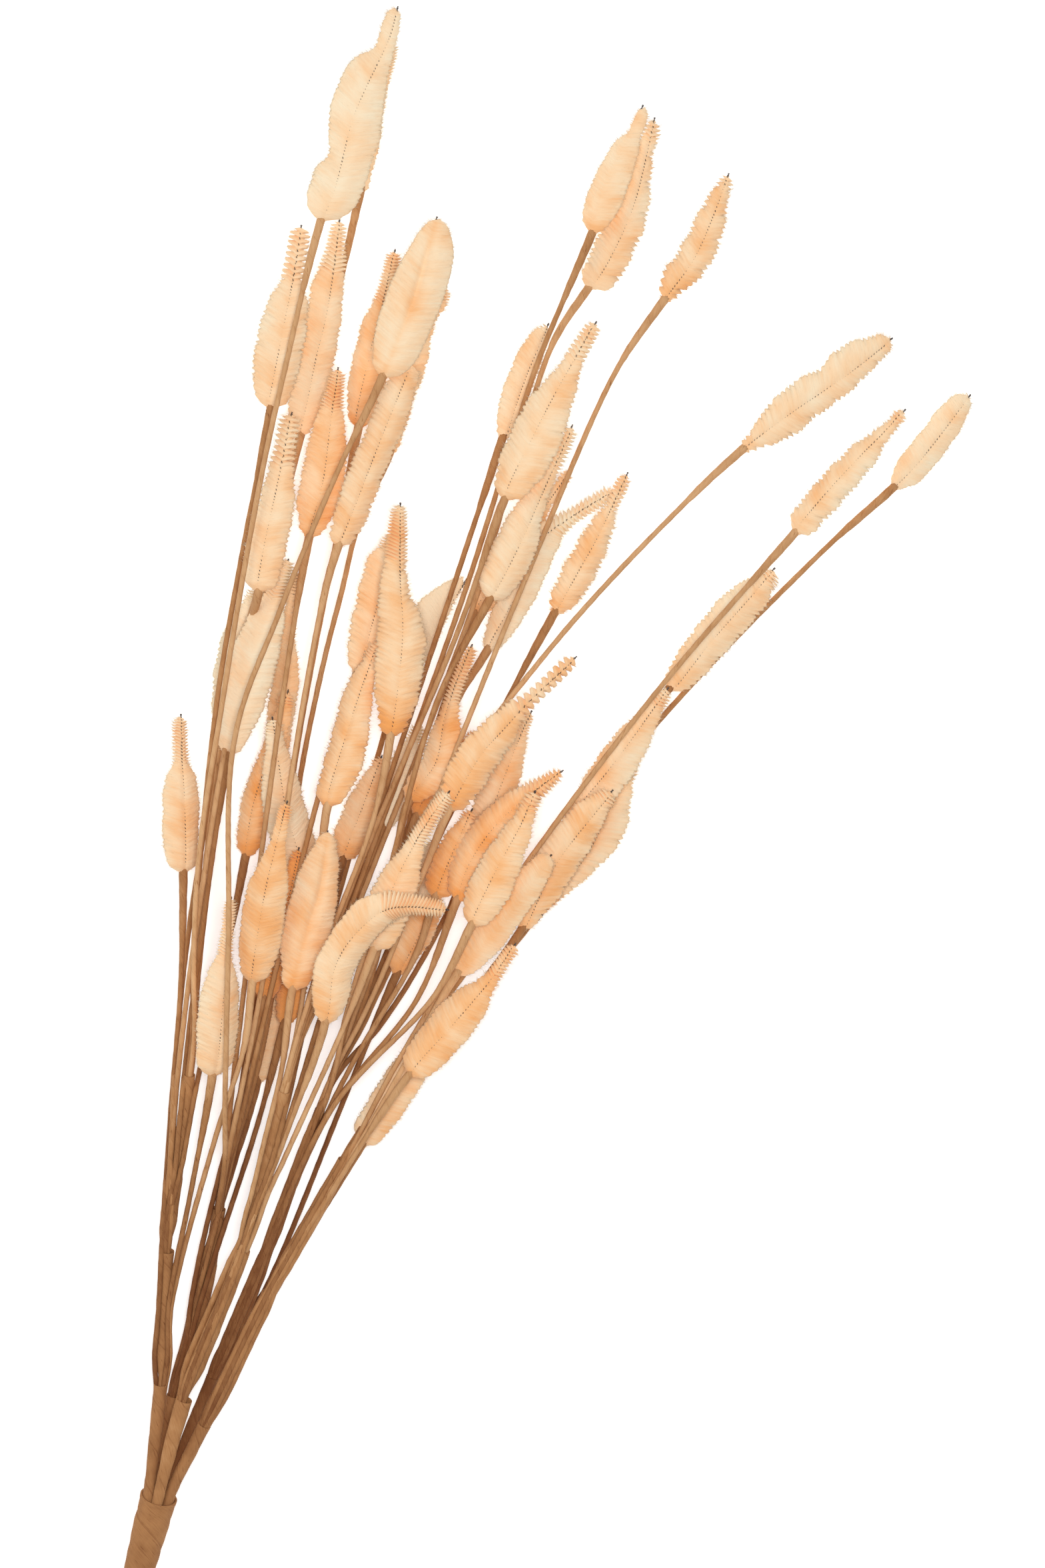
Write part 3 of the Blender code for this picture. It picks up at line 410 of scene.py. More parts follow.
def first_heights(stalk):
    """A stalk's heights before it is lifted clear, and which of them may move."""
    head_thick = stalk.half_width * HEAD_FLATNESS
    reach = stalk.stem[-1][1] - on_table(WRAP_RIM)[1]
    step = LAYER_NEAR + LAYER_GROWTH * max(0.0, reach)
    top = head_thick * LOWEST_HEAD + stalk.head.layer * step
    share = (stalk.stem_runs / stalk.base_run) ** STEM_RISE
    heights = np.append(stalk.root_height + (top - stalk.root_height) * share, top)
    loose = np.ones(len(heights))
    loose[0] = 0
    if stalk.name in RESTING:
        lowest = np.hypot(stalk.half_width * sin(stalk.tilt), head_thick * cos(stalk.tilt))
        heights[-2:] = lowest - FLAT_SPOT
        loose[-2:] = 0
    return heights, loose


def stem_samples(number, stalk):
    """Points along a stem, straight from each of its rings to the next."""
    runs = np.arange(0, stalk.base_run, SAMPLE_STEP)
    low = np.clip(np.searchsorted(stalk.stem_runs, runs, side="right") - 1, 0, STEM_RINGS - 2)
    span = stalk.stem_runs[low + 1] - stalk.stem_runs[low]
    some = np.zeros(len(runs), SAMPLE)
    some["kind"], some["run"] = STEM, runs
    some["low"] = low + number * (STEM_RINGS + 1)
    some["share"] = (runs - stalk.stem_runs[low]) / span
    step = stalk.stem[low + 1] - stalk.stem[low]
    some["place"] = stalk.stem[low] + step * some["share"][:, None]
    collar = runs > stalk.base_run - COLLAR_LENGTH - COLLAR_STEP
    some["wide"] = some["thick"] = np.where(collar, COLLAR_RADIUS, STEM_RADIUS)
    return some


def head_samples(number, stalk):
    """Points along a head, with its reach across and upwards as it is tilted."""
    shares = np.arange(0, 1.001, SAMPLE_STEP / stalk.length)
    wide = stalk.half_width * np.array([stalk.width_share(min(share, 1)) for share in shares])
    wide *= 1 + BODY_RIDGE
    thick = wide * HEAD_FLATNESS
    some = np.zeros(len(shares), SAMPLE)
    some["kind"], some["run"] = HEAD, stalk.base_run
    some["low"], some["share"] = number * (STEM_RINGS + 1) + STEM_RINGS - 1, shares
    some["place"] = at_runs(stalk.path, stalk.base_run + shares * stalk.length)
    some["wide"] = np.hypot(wide * cos(stalk.tilt), thick * sin(stalk.tilt))
    some["thick"] = np.hypot(wide * sin(stalk.tilt), thick * cos(stalk.tilt))
    return some


def sheath_samples(line, end, low):
    """Points along a branch sheath, whose heights are fixed."""
    points = at_runs(line, np.arange(0, end, SAMPLE_STEP))
    some = np.zeros(len(points), SAMPLE)
    some["kind"], some["place"] = SHEATH, points[:, :2]
    some["wide"] = some["thick"] = points[:, 3]
    some["low"] = low + np.arange(len(points))
    return some, points[:, 2]


def crossings(samples, count):
    """Pairs of samples of two stalks, or of a stalk and a sheath of another
    branch, that are near enough on the table to touch. Near their roots the
    stems of one branch run into each other, so those pairs don't count."""
    pairs = []
    for number in range(count):
        mine = np.flatnonzero(samples["owner"] == number)
        others = np.flatnonzero((samples["owner"] > number) | (samples["owner"] < 0))
        one, two = samples[mine][:, None], samples[others][None]
        gap = np.linalg.norm(one["place"] - two["place"], axis=2)
        near = gap < one["wide"] + two["wide"] + CLEAR_AIR
        same = one["branch"] == two["branch"]
        roots = (one["run"] < SHARED_ROOT) | (two["run"] < SHARED_ROOT)
        near &= ~(same & (one["kind"] == STEM) & (two["kind"] == STEM) & roots)
        near &= ~(same & (two["kind"] == SHEATH))
        a, b = np.nonzero(near)
        pairs.append(np.column_stack([mine[a], others[b]]))
    return np.vstack(pairs).T


def gather(stalks, sheaths):
    """All samples, the heights that they read, and which of those may move."""
    branches = list(BRANCHES)
    firsts = [first_heights(stalk) for stalk in stalks]
    z = np.concatenate([heights for heights, loose in firsts])
    free = np.concatenate([loose for heights, loose in firsts])
    groups = []
    for number, stalk in enumerate(stalks):
        for some in (stem_samples(number, stalk), head_samples(number, stalk)):
            some["owner"], some["branch"] = number, branches.index(stalk.head.branch)
            groups.append(some)
    for number, name in enumerate(branches):
        line, mouths = sheaths[name]
        some, heights = sheath_samples(line, mouths[-1], len(z))
        some["owner"], some["branch"] = -1 - number, number
        groups.append(some)
        z = np.append(z, heights)
    z = np.append(z, 0)
    return np.concatenate(groups), z, np.append(free, np.zeros(len(z) - len(free)))


def level(some, z):
    """The heights of samples, each read from the two next to it."""
    return z[some["low"]] * (1 - some["share"]) + z[some["low"] + 1] * some["share"]


def upper_ones(stalks, first, second, z):
    """Which sample of each pair stays on top, the first (1) or the second (-1),
    and which pairs are of heads pressed together. The stalk with the higher
    layer stays on top, and a sheath stays on the side where it is at first."""
    names = [stalk.name for stalk in stalks]
    leader = np.array([names.index(PRESSED.get(name, name)) for name in names])
    rank = np.array([stalk.head.layer + number / 100 for number, stalk in enumerate(stalks)])
    one, two = first["owner"], np.maximum(second["owner"], 0)
    together = leader[one] == leader[two]
    side = np.sign(np.where(together, rank[one] - rank[two],
                            rank[leader[one]] - rank[leader[two]]))
    on_sheath = second["kind"] == SHEATH
    crossing = np.where(on_sheath, len(BRANCHES) * one - second["owner"], 0)
    total = np.bincount(crossing, level(first, z) - level(second, z))
    side = np.where(on_sheath, np.where(total > 0, 1.0, -1.0)[crossing], side)
    return side, together & (first["kind"] == HEAD) & (second["kind"] == HEAD)


def settle(stalks, sheaths):
    """Lift stems and heads apart until each crossing has clear air. A stalk has
    a height at each stem ring and one at its tip."""
    samples, z, free = gather(stalks, sheaths)
    first, second = (samples[side] for side in crossings(samples, len(stalks)))
    side, pressed = upper_ones(stalks, first, second, z)
    gap = np.linalg.norm(first["place"] - second["place"], axis=1)
    reach = first["wide"] + second["wide"] + CLEAR_AIR
    need = first["thick"] + second["thick"] + CLEAR_AIR
    need *= np.sqrt(np.maximum(0, 1 - (gap / reach) ** 2))

    grips = []
    for some, sign in ((first, 1), (second, -1)):
        for node, weight in ((some["low"], 1 - some["share"]), (some["low"] + 1, some["share"])):
            grips.append((node, sign * weight * free[node]))
    stiffness = np.maximum(sum(weight ** 2 for node, weight in grips), 0.1)

    size = STEM_RINGS + 1
    floor = np.full((len(stalks), size), STEM_RADIUS + SEAT_GAP)
    runs = np.zeros((len(stalks), size))
    for number, stalk in enumerate(stalks):
        floor[number, -2:] = stalk.half_width * FLOOR_SHARE + SEAT_GAP
        runs[number] = np.append(stalk.stem_runs, stalk.base_run + stalk.length)
    mix = (runs[:, 1:-1] - runs[:, :-2]) / (runs[:, 2:] - runs[:, :-2])
    movable = free[:len(stalks) * size].reshape(len(stalks), size)
    for step in range(ROUNDS):
        lift = side * (level(first, z) - level(second, z))
        near = np.maximum(0, PRESSED_NEAREST * need - lift)
        far = np.maximum(0, lift - PRESSED_FARTHEST * need)
        short = side * np.where(pressed, near - far, np.maximum(0, need - lift))
        push, load = np.zeros(len(z)), np.zeros(len(z))
        for node, weight in grips:
            force = np.abs(weight) * (short != 0)
            push += np.bincount(node, force * weight * short / stiffness, len(z))
            load += np.bincount(node, force, len(z))
        z += push / np.maximum(load, 1e-9)
        table = z[:len(stalks) * size].reshape(len(stalks), size)
        spring = SPRING * max(0.0, 1 - step / (SPRING_STOPS * ROUNDS)) ** 2
        even = table[:, :-2] * (1 - mix) + table[:, 2:] * mix
        table[:, 1:-1] += spring * (even - table[:, 1:-1]) * movable[:, 1:-1]
        table[:, -1] += spring / 3 * (table[:, -2] - table[:, -1]) * movable[:, -1]
        # The two rings of the collar's step stay in line with the stem
        table[:, STEM_RINGS - 3] = even[:, STEM_RINGS - 4]
        np.copyto(table, np.maximum(table, floor), where=movable > 0)
    for stalk, heights in zip(stalks, table):
        stalk.heights = heights.copy()


def shift_to_frame():
    """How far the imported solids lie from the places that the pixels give."""
    along, across, up = wrap_frame()
    corners = []
    for middle, radius in zip(wrap_axis(), (WRAP_RADIUS_CUT, WRAP_RADIUS_RIM)):
        for k in range(WRAP_SIDES):
            turn = 2 * pi * (k + 0.5) / WRAP_SIDES
            corners.append(middle + radius * (cos(turn) * across + sin(turn) * up))
    return np.array(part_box("main_wrap")[0]) - np.array(corners).min(axis=0)


# How the heads of each branch look: tone from pale cream (0) to orange (1), how
# orange the base is, pitch of the neck's teeth in millimetres (0 is a smooth
# neck), depth of the teeth along the edges in millimetres, depth of the crease
# along the middle as a share, whether the wire shows, and how many pixels it
# lies to the right of the head's line at its base, middle and tip
Look = namedtuple("Look", "tone blush neck teeth crease wire wire_at", defaults=[(0, 0, 0)])
# Some tones also hold painted light and shade: heads that lie deep in the spray's shade are given a
# more orange tone, and a few low ones under others a paler one
LOOK_ROWS = {
    "left_front": [
        (0.24, 0.25, 0.0, 0.5, 0.06, 1, (0, 0, 3)),
        (0.25, 0.10, 1.7, 0.8, 0.10, 0, (-18, -18, 0)),
        (0.34, 0.60, 3.0, 0.9, 0.10, 1),
        (0.32, 0.30, 2.2, 0.8, 0.12, 1, (-4, 0, 0)),
        (0.38, 0.40, 2.9, 0.9, 0.10, 1),
        (0.20, 0.25, 1.8, 0.6, 0.12, 0),
        (-0.04, 0.20, 1.7, 0.7, 0.12, 1),
        (0.42, 0.10, 1.6, 0.5, 0.08, 1, (-2, 0, 0)),
        (0.66, 0.95, 1.7, 0.6, 0.10, 1),
        (0.70, 0.15, 1.6, 0.5, 0.10, 1),
        (0.32, 0.70, 1.6, 0.6, 0.10, 1, (0, 3, 0)),
    ],
    "left_back": [
        (0.60, 0.40, 1.8, 0.7, 0.12, 1),
        (0.48, 1.00, 1.8, 0.7, 0.12, 1),
        (0.28, 0.55, 0.0, 0.3, 0.40, 0, (0, 4, -4)),
        (0.40, 0.15, 0.0, 0.9, 0.10, 1),
        (0.42, 0.20, 1.8, 0.9, 0.10, 0, (-24, -24, -10)),
        (0.38, 0.40, 1.7, 0.6, 0.10, 1, (-16, -6, 0)),
        (0.22, 0.15, 1.7, 0.6, 0.12, 1),
        (1.10, 0.80, 1.7, 0.6, 0.12, 1),
        (1.05, 0.60, 1.7, 0.6, 0.12, 1),
        (0.42, 0.30, 1.7, 0.6, 0.12, 1),
        (0.46, 0.30, 1.8, 0.9, 0.10, 1),
    ],
    "middle": [
        (0.52, 2.20, 1.8, 1.0, 0.12, 1),
        (0.56, 0.50, 1.8, 0.8, 0.12, 1),
        (0.50, 0.40, 1.7, 0.8, 0.12, 1),
        (-0.08, 0.00, 0.0, 0.5, 0.12, 0),
        (0.00, 0.00, 1.8, 0.8, 0.12, 1),
        (0.34, 0.55, 0.0, 0.4, 0.05, 0),
        (0.34, 0.35, 2.6, 1.3, 0.08, 1),
        (0.28, 0.10, 1.7, 0.6, 0.08, 1, (4, 5, 0)),
        (0.36, 0.45, 2.6, 0.9, 0.08, 1),
        (0.46, 0.20, 1.8, 0.7, 0.12, 1),
        (0.44, 0.20, 1.7, 0.5, 0.12, 1),
        (0.50, 0.60, 0.0, 0.5, 0.36, 0, (0, 3, 0)),
    ],
    "right_back": [
        (0.58, 0.50, 1.9, 0.9, 0.12, 1),
        (0.46, 0.45, 2.2, 1.5, 0.08, 1, (0, -1, 0)),
        (0.28, 0.35, 2.2, 0.7, 0.10, 1),
        (0.46, 0.60, 2.2, 0.8, 0.10, 1),
        (0.18, 0.10, 2.4, 0.6, 0.10, 1),
        (0.46, 0.50, 2.3, 1.3, 0.10, 1),
        (0.33, 0.25, 0.0, 1.2, 0.14, 1),
        (0.52, 0.40, 2.4, 0.8, 0.12, 1),
        (0.66, 0.95, 2.4, 0.8, 0.25, 1),
        (0.56, 0.50, 3.9, 1.1, 0.10, 1),
        (0.46, 0.30, 1.7, 0.8, 0.18, 1),
        (0.88, 0.40, 1.7, 0.8, 0.12, 1),
        (0.70, 0.60, 1.7, 0.8, 0.20, 1),
        (0.58, 0.50, 1.7, 0.6, 0.12, 1),
        (0.08, 0.20, 1.7, 0.8, 0.12, 1),
    ],
    "right_front": [
        (0.34, 0.20, 2.2, 1.4, 0.06, 1),
        (0.24, 0.12, 0.0, 0.4, 0.08, 1, (0, -1, 0)),
        (0.36, 0.30, 1.9, 1.0, 0.10, 1, (5, 0, -7)),
        (0.40, 0.30, 1.9, 0.8, 0.10, 1),
        (0.36, 0.20, 2.0, 1.0, 0.08, 1),
        (0.55, 0.15, 2.0, 0.9, 0.10, 1),
        (0.50, 0.15, 0.0, 0.6, 0.12, 0),
        (0.67, 0.30, 2.0, 0.6, 0.14, 1),
        (0.40, 0.15, 1.9, 0.5, 0.10, 0),
    ],
}
LOOKS = {name: Look(*row) for name, row in by_name(LOOK_ROWS).items()}

# Outlines: how many pixels the pile reaches to the right and to the left of the
# head's line, at eleven even steps from its base to its tip. Heads without one
# have the plain outline, given as shares of the head's half width
OUTLINE_ROWS = {
    "left_front": [
        ((15, 36, 41, 43, 47, 42, 34, 24, 17, 13, 10), (22, 37, 39, 23, 31, 38, 40, 37, 14, 15, 11)),
        ((5, 3, 3, 5, 4, 2, 1, 2, 3, 5, 4), (20, 26, 28, 28, 28, 26, 24, 20, 15, 12, 8)),
        ((20, 30, 34, 35, 35, 33, 28, 16, 14, 13, 12), (10, 24, 31, 33, 33, 31, 26, 16, 14, 13, 12)),
        ((12, 20, 28, 31, 30, 28, 25, 21, 19, 12, 9), (14, 24, 29, 31, 29, 28, 27, 26, 17, 11, 9)),
        ((20, 28, 30, 30, 30, 29, 24, 17, 13, 12, 12), (16, 25, 28, 28, 27, 23, 21, 18, 14, 14, 12)),
        ((15, 24, 33, 37, 38, 37, 33, 28, 18, 13, 12), (15, 24, 33, 37, 38, 37, 33, 28, 18, 13, 12)),
        ((12, 20, 24, 25, 26, 26, 25, 22, 18, 14, 10), (12, 18, 24, 28, 33, 34, 35, 33, 27, 18, 10)),
        ((13, 19, 21, 22, 25, 24, 22, 11, 9, 8, 6), (20, 30, 34, 34, 32, 31, 26, 13, 12, 12, 11)),
        ((13, 20, 22, 24, 24, 22, 20, 18, 15, 13, 10), (13, 18, 20, 22, 22, 20, 18, 16, 14, 12, 9)),
        ((16, 29, 34, 36, 34, 33, 29, 20, 13, 10, 9), (14, 23, 28, 30, 31, 30, 24, 16, 11, 10, 9)),
        ((15, 28, 31, 33, 31, 29, 19, 10, 8, 8, 7), (18, 29, 31, 32, 31, 28, 21, 11, 9, 8, 8)),
    ],
    "left_back": [
        ((14, 23, 29, 31, 31, 30, 26, 20, 14, 11, 9), (12, 20, 30, 32, 32, 30, 27, 22, 16, 11, 9)),
        ((18, 27, 30, 30, 29, 28, 25, 14, 11, 11, 9), (10, 19, 25, 28, 28, 28, 26, 17, 12, 10, 9)),
        ((20, 34, 42, 44, 46, 47, 47, 45, 42, 31, 14), (18, 26, 34, 38, 39, 39, 38, 34, 29, 23, 11)),
        ((16, 24, 27, 27, 27, 28, 29, 30, 27, 23, 16), (14, 20, 23, 25, 25, 24, 22, 23, 23, 20, 14)),
        ((-10, -8, -6, -5, -3, 2, 2, -2, -4, 1, 0), (28, 33, 35, 36, 36, 36, 35, 33, 30, 24, 14)),
        ((5, 6, 7, 9, 11, 9, 2, -3, -5, -7, -8), (20, 30, 34, 34, 32, 30, 28, 26, 22, 18, 14)),
        None,
        None,
        None,
        None,
        ((10, 20, 26, 29, 30, 30, 29, 28, 24, 14, 9), (10, 18, 24, 27, 28, 28, 29, 29, 27, 15, 9)),
    ],
    "middle": [
        ((16, 26, 33, 34, 36, 30, 16, 10, 9, 8, 6), (16, 24, 33, 36, 36, 35, 32, 26, 20, 15, 10)),
        ((14, 24, 32, 33, 31, 27, 22, 17, 12, 9, 6), (14, 22, 23, 25, 25, 26, 27, 26, 20, 13, 8)),
        None,
        ((12, 12, 12, 12, 12, 10, 8, 6, 4, 2, -2), (30, 36, 40, 43, 45, 46, 44, 37, 31, 22, 10)),
        None,
        ((16, 24, 30, 33, 32, 31, 28, 24, 18, 17, 12), (10, 22, 25, 26, 25, 23, 21, 16, 5, 5, 5)),
        ((13, 27, 29, 28, 28, 25, 20, 14, 11, 11, 5), (20, 25, 29, 29, 28, 27, 24, 20, 17, 13, 6)),
        ((8, 14, 18, 20, 21, 22, 21, 19, 14, 9, 4), (8, 13, 17, 20, 20, 20, 20, 21, 20, 16, 5)),
        ((18, 30, 37, 38, 37, 31, 26, 19, 11, 10, 9), (18, 27, 34, 36, 37, 35, 27, 19, 15, 12, 9)),
        ((16, 28, 33, 34, 32, 27, 18, 12, 11, 10, 8), (16, 26, 32, 32, 29, 23, 15, 12, 11, 11, 9)),
        ((14, 28, 35, 36, 35, 33, 30, 24, 14, 12, 10), (14, 24, 27, 28, 27, 29, 32, 26, 19, 15, 12)),
        ((19, 30, 36, 38, 39, 38, 33, 28, 25, 19, 9), (12, 18, 26, 33, 34, 35, 37, 36, 29, 19, 9)),
    ],
    "right_back": [
        ((14, 21, 28, 29, 28, 24, 18, 10, 9, 9, 7), (14, 22, 27, 28, 25, 18, 10, 8, 8, 7, 6)),
        ((6, 13, 16, 22, 23, 23, 21, 19, 13, 10, 5), (8, 20, 28, 27, 28, 26, 25, 23, 19, 12, 4)),
        ((16, 28, 33, 33, 28, 18, 14, 11, 10, 10, 9), (14, 29, 32, 33, 32, 28, 20, 13, 10, 10, 8)),
        ((14, 22, 26, 27, 27, 25, 20, 10, 7, 6, 5), (10, 17, 24, 27, 27, 25, 20, 12, 9, 8, 6)),
        ((8, 20, 23, 25, 26, 28, 26, 13, 9, 9, 8), (8, 20, 26, 28, 29, 29, 27, 18, 12, 12, 12)),
        ((8, 18, 25, 26, 25, 22, 19, 13, 7, 8, 4), (10, 17, 21, 22, 22, 22, 20, 15, 8, 9, 6)),
        ((9, 17, 28, 34, 31, 29, 28, 26, 21, 17, 9), (8, 12, 21, 28, 31, 32, 27, 36, 34, 24, 11)),
        ((14, 24, 30, 32, 30, 28, 23, 20, 14, 11, 10), (12, 22, 30, 30, 30, 28, 25, 21, 16, 12, 10)),
        ((12, 22, 28, 30, 30, 28, 24, 19, 12, 9, 4), (12, 22, 28, 30, 31, 30, 28, 24, 17, 10, 5)),
        ((16, 28, 32, 33, 31, 25, 15, 10, 10, 9, 7), (14, 26, 30, 30, 27, 25, 21, 10, 9, 10, 8)),
        ((14, 24, 27, 28, 27, 25, 22, 17, 12, 6, 4), (14, 24, 27, 27, 27, 26, 23, 19, 15, 11, 8)),
        None,
        None,
        ((10, 13, 16, 18, 23, 25, 25, 23, 22, 18, 10), (12, 20, 26, 28, 30, 30, 28, 24, 20, 14, 10)),
        None,
    ],
    "right_front": [
        ((14, 22, 23, 24, 24, 23, 22, 18, 11, 10, 6), (14, 24, 25, 26, 26, 25, 24, 20, 13, 10, 8)),
        ((4, 13, 21, 22, 22, 22, 21, 21, 18, 13, 8), (6, 17, 25, 28, 28, 28, 27, 28, 26, 22, 12)),
        ((12, 26, 29, 31, 32, 32, 31, 29, 26, 16, 8), (12, 19, 23, 25, 27, 28, 31, 30, 26, 18, 12)),
        ((14, 24, 29, 31, 31, 30, 27, 22, 16, 11, 7), (8, 10, 15, 23, 25, 26, 25, 21, 15, 11, 8)),
        ((3, 4, 10, 16, 21, 27, 31, 28, 20, 13, 8), (17, 24, 30, 32, 32, 31, 28, 24, 19, 13, 9)),
        ((6, 15, 24, 30, 33, 33, 32, 28, 22, 15, 9), (12, 22, 27, 30, 32, 33, 32, 30, 28, 20, 12)),
        ((6, 19, 23, 26, 25, 24, 23, 23, 21, 17, 9), (8, 14, 20, 25, 29, 32, 33, 31, 27, 20, 14)),
        ((15, 25, 28, 28, 28, 26, 22, 12, 9, 8, 12), (18, 32, 35, 38, 40, 37, 30, 18, 12, 11, 8)),
        ((10, 18, 21, 22, 22, 21, 21, 20, 18, 14, 9), (16, 31, 33, 35, 36, 36, 34, 30, 24, 17, 10)),
    ],
}
OUTLINES = {name: row for name, row in by_name(OUTLINE_ROWS).items() if row}
PLAIN_OUTLINE = (0.45, 0.8, 0.95, 1, 1, 0.97, 0.9, 0.75, 0.55, 0.4, 0.3)

# Pile: thickness of the body and of the neck as shares of their width, how its
# base and tip are rounded, and the neck's core as a share of its bristles
PILE_FLATNESS = 0.46
NECK_ROUNDNESS = 0.62
NECK_CORE = 0.3
NECK_START = 0.003
NECK_WINDOW = 0.006
BASE_ROUND = 0.004
TIP_ROUND = 0.0025
LEAST_HALF = 0.0015
HEAD_SIDES = 26
PILE_CHANGE = 0.2

# Rows of teeth along the pile, how far they slant to the tip, the fuzz that
# deep teeth add, and the groove and crease along the wire
BODY_ROW = 0.0026
ROW_SLANT = 0.38
SLANT_IN = 0.008
SLANT_OUT = 0.01
FINEST_PITCH = 1.5
SMOOTH_TEETH = 0.3
SMOOTH_FUZZ = 0.0003
FUZZ_GROWTH = 0.06
FUZZ_REACH = 0.0008
GROOVE_DEPTH = 0.0004
GROOVE_WIDTH = 0.0008
DEEP_CREASE = 0.2
CREASE_WIDTH = 0.35
FOLD_WIDTH = 0.14
ROW_WANDER = 1.3
DEPTH_VARIES = 0.8

# Tones of the pile, added to that of its look: patches, a change from side to side, the blush at the
# base, a band by the wire that is partly the pile's own warmer colour and partly painted shade in its
# groove, painted shade down a deep crease, a paler neck, painted light at the edge and painted shade
# on the back
PATCH_TONE = 0.10
ACROSS_TONE = 0.09
BASE_TONE = 0.5
BLUSH_REACH = 0.009
WIRE_TONE = 0.04
CREASE_PAINTED_SHADE = 0.5
WIRE_BAND_WIDTH = 0.0016
NECK_TONE = -0.05
EDGE_PAINTED_LIGHT = -0.12
UNDERSIDE_PAINTED_SHADE = 0.06

# Fibres: single ones on a head's top, and tufts at the ends of its rows. How many there are, how far
# round the pile they stand, how far out they are rooted, how thick and long they are, and how much
# paler than the pile they are painted, as painted light for the light that shines through them
TOP_FIBRES = 100
TOP_SPREAD = 1.35
TOP_ROOT = 0.98
TOP_THICK = 0.45
TOP_LENGTH = 0.0012
TOP_UNEVEN = 0.001
ROW_FIBRES = 12
TUFT_SPREAD = 0.3
TUFT_ROOT = 0.8
TUFT_THICK = 0.9
TUFT_SHARE = 0.22
TUFT_UNEVEN = 0.0018
NECK_TUFT = 0.0004
AHEAD_SPREAD = 0.22
FIBRE_WANDER = 0.1
FIBRE_PAINTED_LIGHT = -0.22
FIBRE_FRAMES = 80

# Wire: two strands twisted together, whose crests show as dots along the pile
STRAND_SIDES = 4
WIRE_SPAN = 0.00043
TWIST_RISE = 0.0008
TWIST_SIDE = 0.00028
WIRE_SHOWN = 0.00027
WIRE_IN = 0.004
WIRE_OUT = 0.003
WIRE_ROOT = 0.003
WIRE_TIP = 0.0012
WIRE_BARE = 0.0006

# Tape: the step of its spiral seam, full from a certain radius on, its ripple
# and patches, and how its winding and pattern change from piece to piece
SEAM_STEP = 0.00018
FULL_SEAM = 0.002
TAPE_RIPPLE = 0.05
TAPE_PATCHES = 0.08
WIND_CHANGE = 0.37
TAPE_CHANGE = 0.1

# Taped stems, drawn a little thinner than the solids, with a bump where the
# collar starts, and pulled to the middle of the pile's base
STEM_SPAN = 0.0026
STEM_LEAST = 12
STEM_SIDES = 8
STEM_IN_HEAD = 0.004
THIN_STEM = 0.88
THIN_COLLAR = 0.9
COLLAR_BUMP = 0.0016
HEAD_PULL = 0.08
EVENED = 5

# Sheaths with their mouths, and the wrap, whose two folds are given by their
# rise, place from the rim and softness
SHEATH_SPAN = 0.0014
SHEATH_SIDES = 24
SHEATH_SEAM = 0.021
MIDDLE_FLATNESS = 0.8
MOUTH_WALL = 0.0004
MOUTH_DEPTH = 0.006
MOUTH_SLANT = 0.35
SLANT_REACH = 0.012
INNER_RINGS = 5
WRAP_SEAM = 0.034
WRAP_RINGS = 110
WRAP_FACETS = 64
WRAP_FOLDS = ((0.00035, 0.0022, 0.0002), (0.0003, 0.0085, 0.0003))
WRAP_SLACK = 0.0006
WRAP_RIM_WALL = 0.0003
WRAP_DEPTH = 0.02
WRAP_SLANT = 0.42

# Stems lie side by side over the sheath that goes on from their mouth: how wide
# that sheath is where it starts, how soon it is full, how soon stems part and
# are free, and how their drawn ends taper
CORE_START = 0.35
CORE_GROWTH = 0.018
PARTING = 0.05
FREE_PAST = 0.1
OVERLAY = 0.0013
ROOT_TAPER = 0.007
ROOT_SHARE = 0.3

# Tones of the tape, with painted shade where the stems and sheaths crowd together or lie low, and
# painted light where they stand free
SHEATH_TONES = {"left_front": 0.5, "left_back": 0.38, "middle": 0.62, "right_back": 0.2,
                "right_front": 0.5}
WRAP_TONE = 0.38
STEM_TONE = 0.42
STEM_VARIES = 0.16
LAYER_PAINTED_SHADE = 0.04
LOW_PAINTED_SHADE = 0.3
DEEPEST = 0.03
SHADED = 0.28
SHADE_STARTS = -0.08
SHADE_FULL = -0.2
FREE_PAINTED_LIGHT = 0.07
FREE_ABOVE = 0.12
LOW_STEMS = 0.006
HIGH_STEMS = 0.036

# Slots of the stems shown from a branch's first, second or third mouth, where
# they leave one side of the sheath in sight
SLOTS = {
    ("left_front", 0): (-1.0, 0.75, 1.1),
    ("left_front", 1): (-1.0, -0.65, -0.3, 0.3),
    ("middle", 0): (-1.0, -0.65, -0.3, 0.05),
    ("middle", 1): (0.8,),
}

# Stems that are seen from their branch's first mouth on
EARLY = ("middle_03", "middle_05", "middle_12", "right_back_08", "right_back_09",
         "right_back_01", "right_back_15", "right_front_01", "right_front_04",
         "right_front_06", "right_front_08")

# A stem that passes behind a head, over which the solids carry it, and how it
# comes free beside that head and before its own
HIDDEN = {"left_front_05": "left_front_06"}
HIDING_STEPS = 60
ROOM_BESIDE = 0.03
KEPT_END = 0.05

# Waves of a gentle unevenness: height, length and step from piece to piece
WAVES = ((0.5, 0.041, 0.618), (0.3, 0.019, 0.414), (0.2, 0.0083, 0.732))

# Camera, far above the table and looking straight down, the floor, and lamps
# with their place from the spray, size and power
CAMERA_HEIGHT = 10.0
MIDDLE_HEIGHT = 0.03
SENSOR = 24.0
FLOOR_REACH = 6
FLOOR_DROP = 0.0005
WORLD_LIGHT = 0.47
LAMPS = (("overhead", (0.0, 0.0, 2.6), 0.5, 31.0), ("key", (-1.3, 1.1, 2.2), 1.6, 12.0))


class Sprays:
    """The stalks and sheaths once laid out, kept for all the operators."""

    stalks = []
    sheaths = {}
    shift = np.zeros(3)


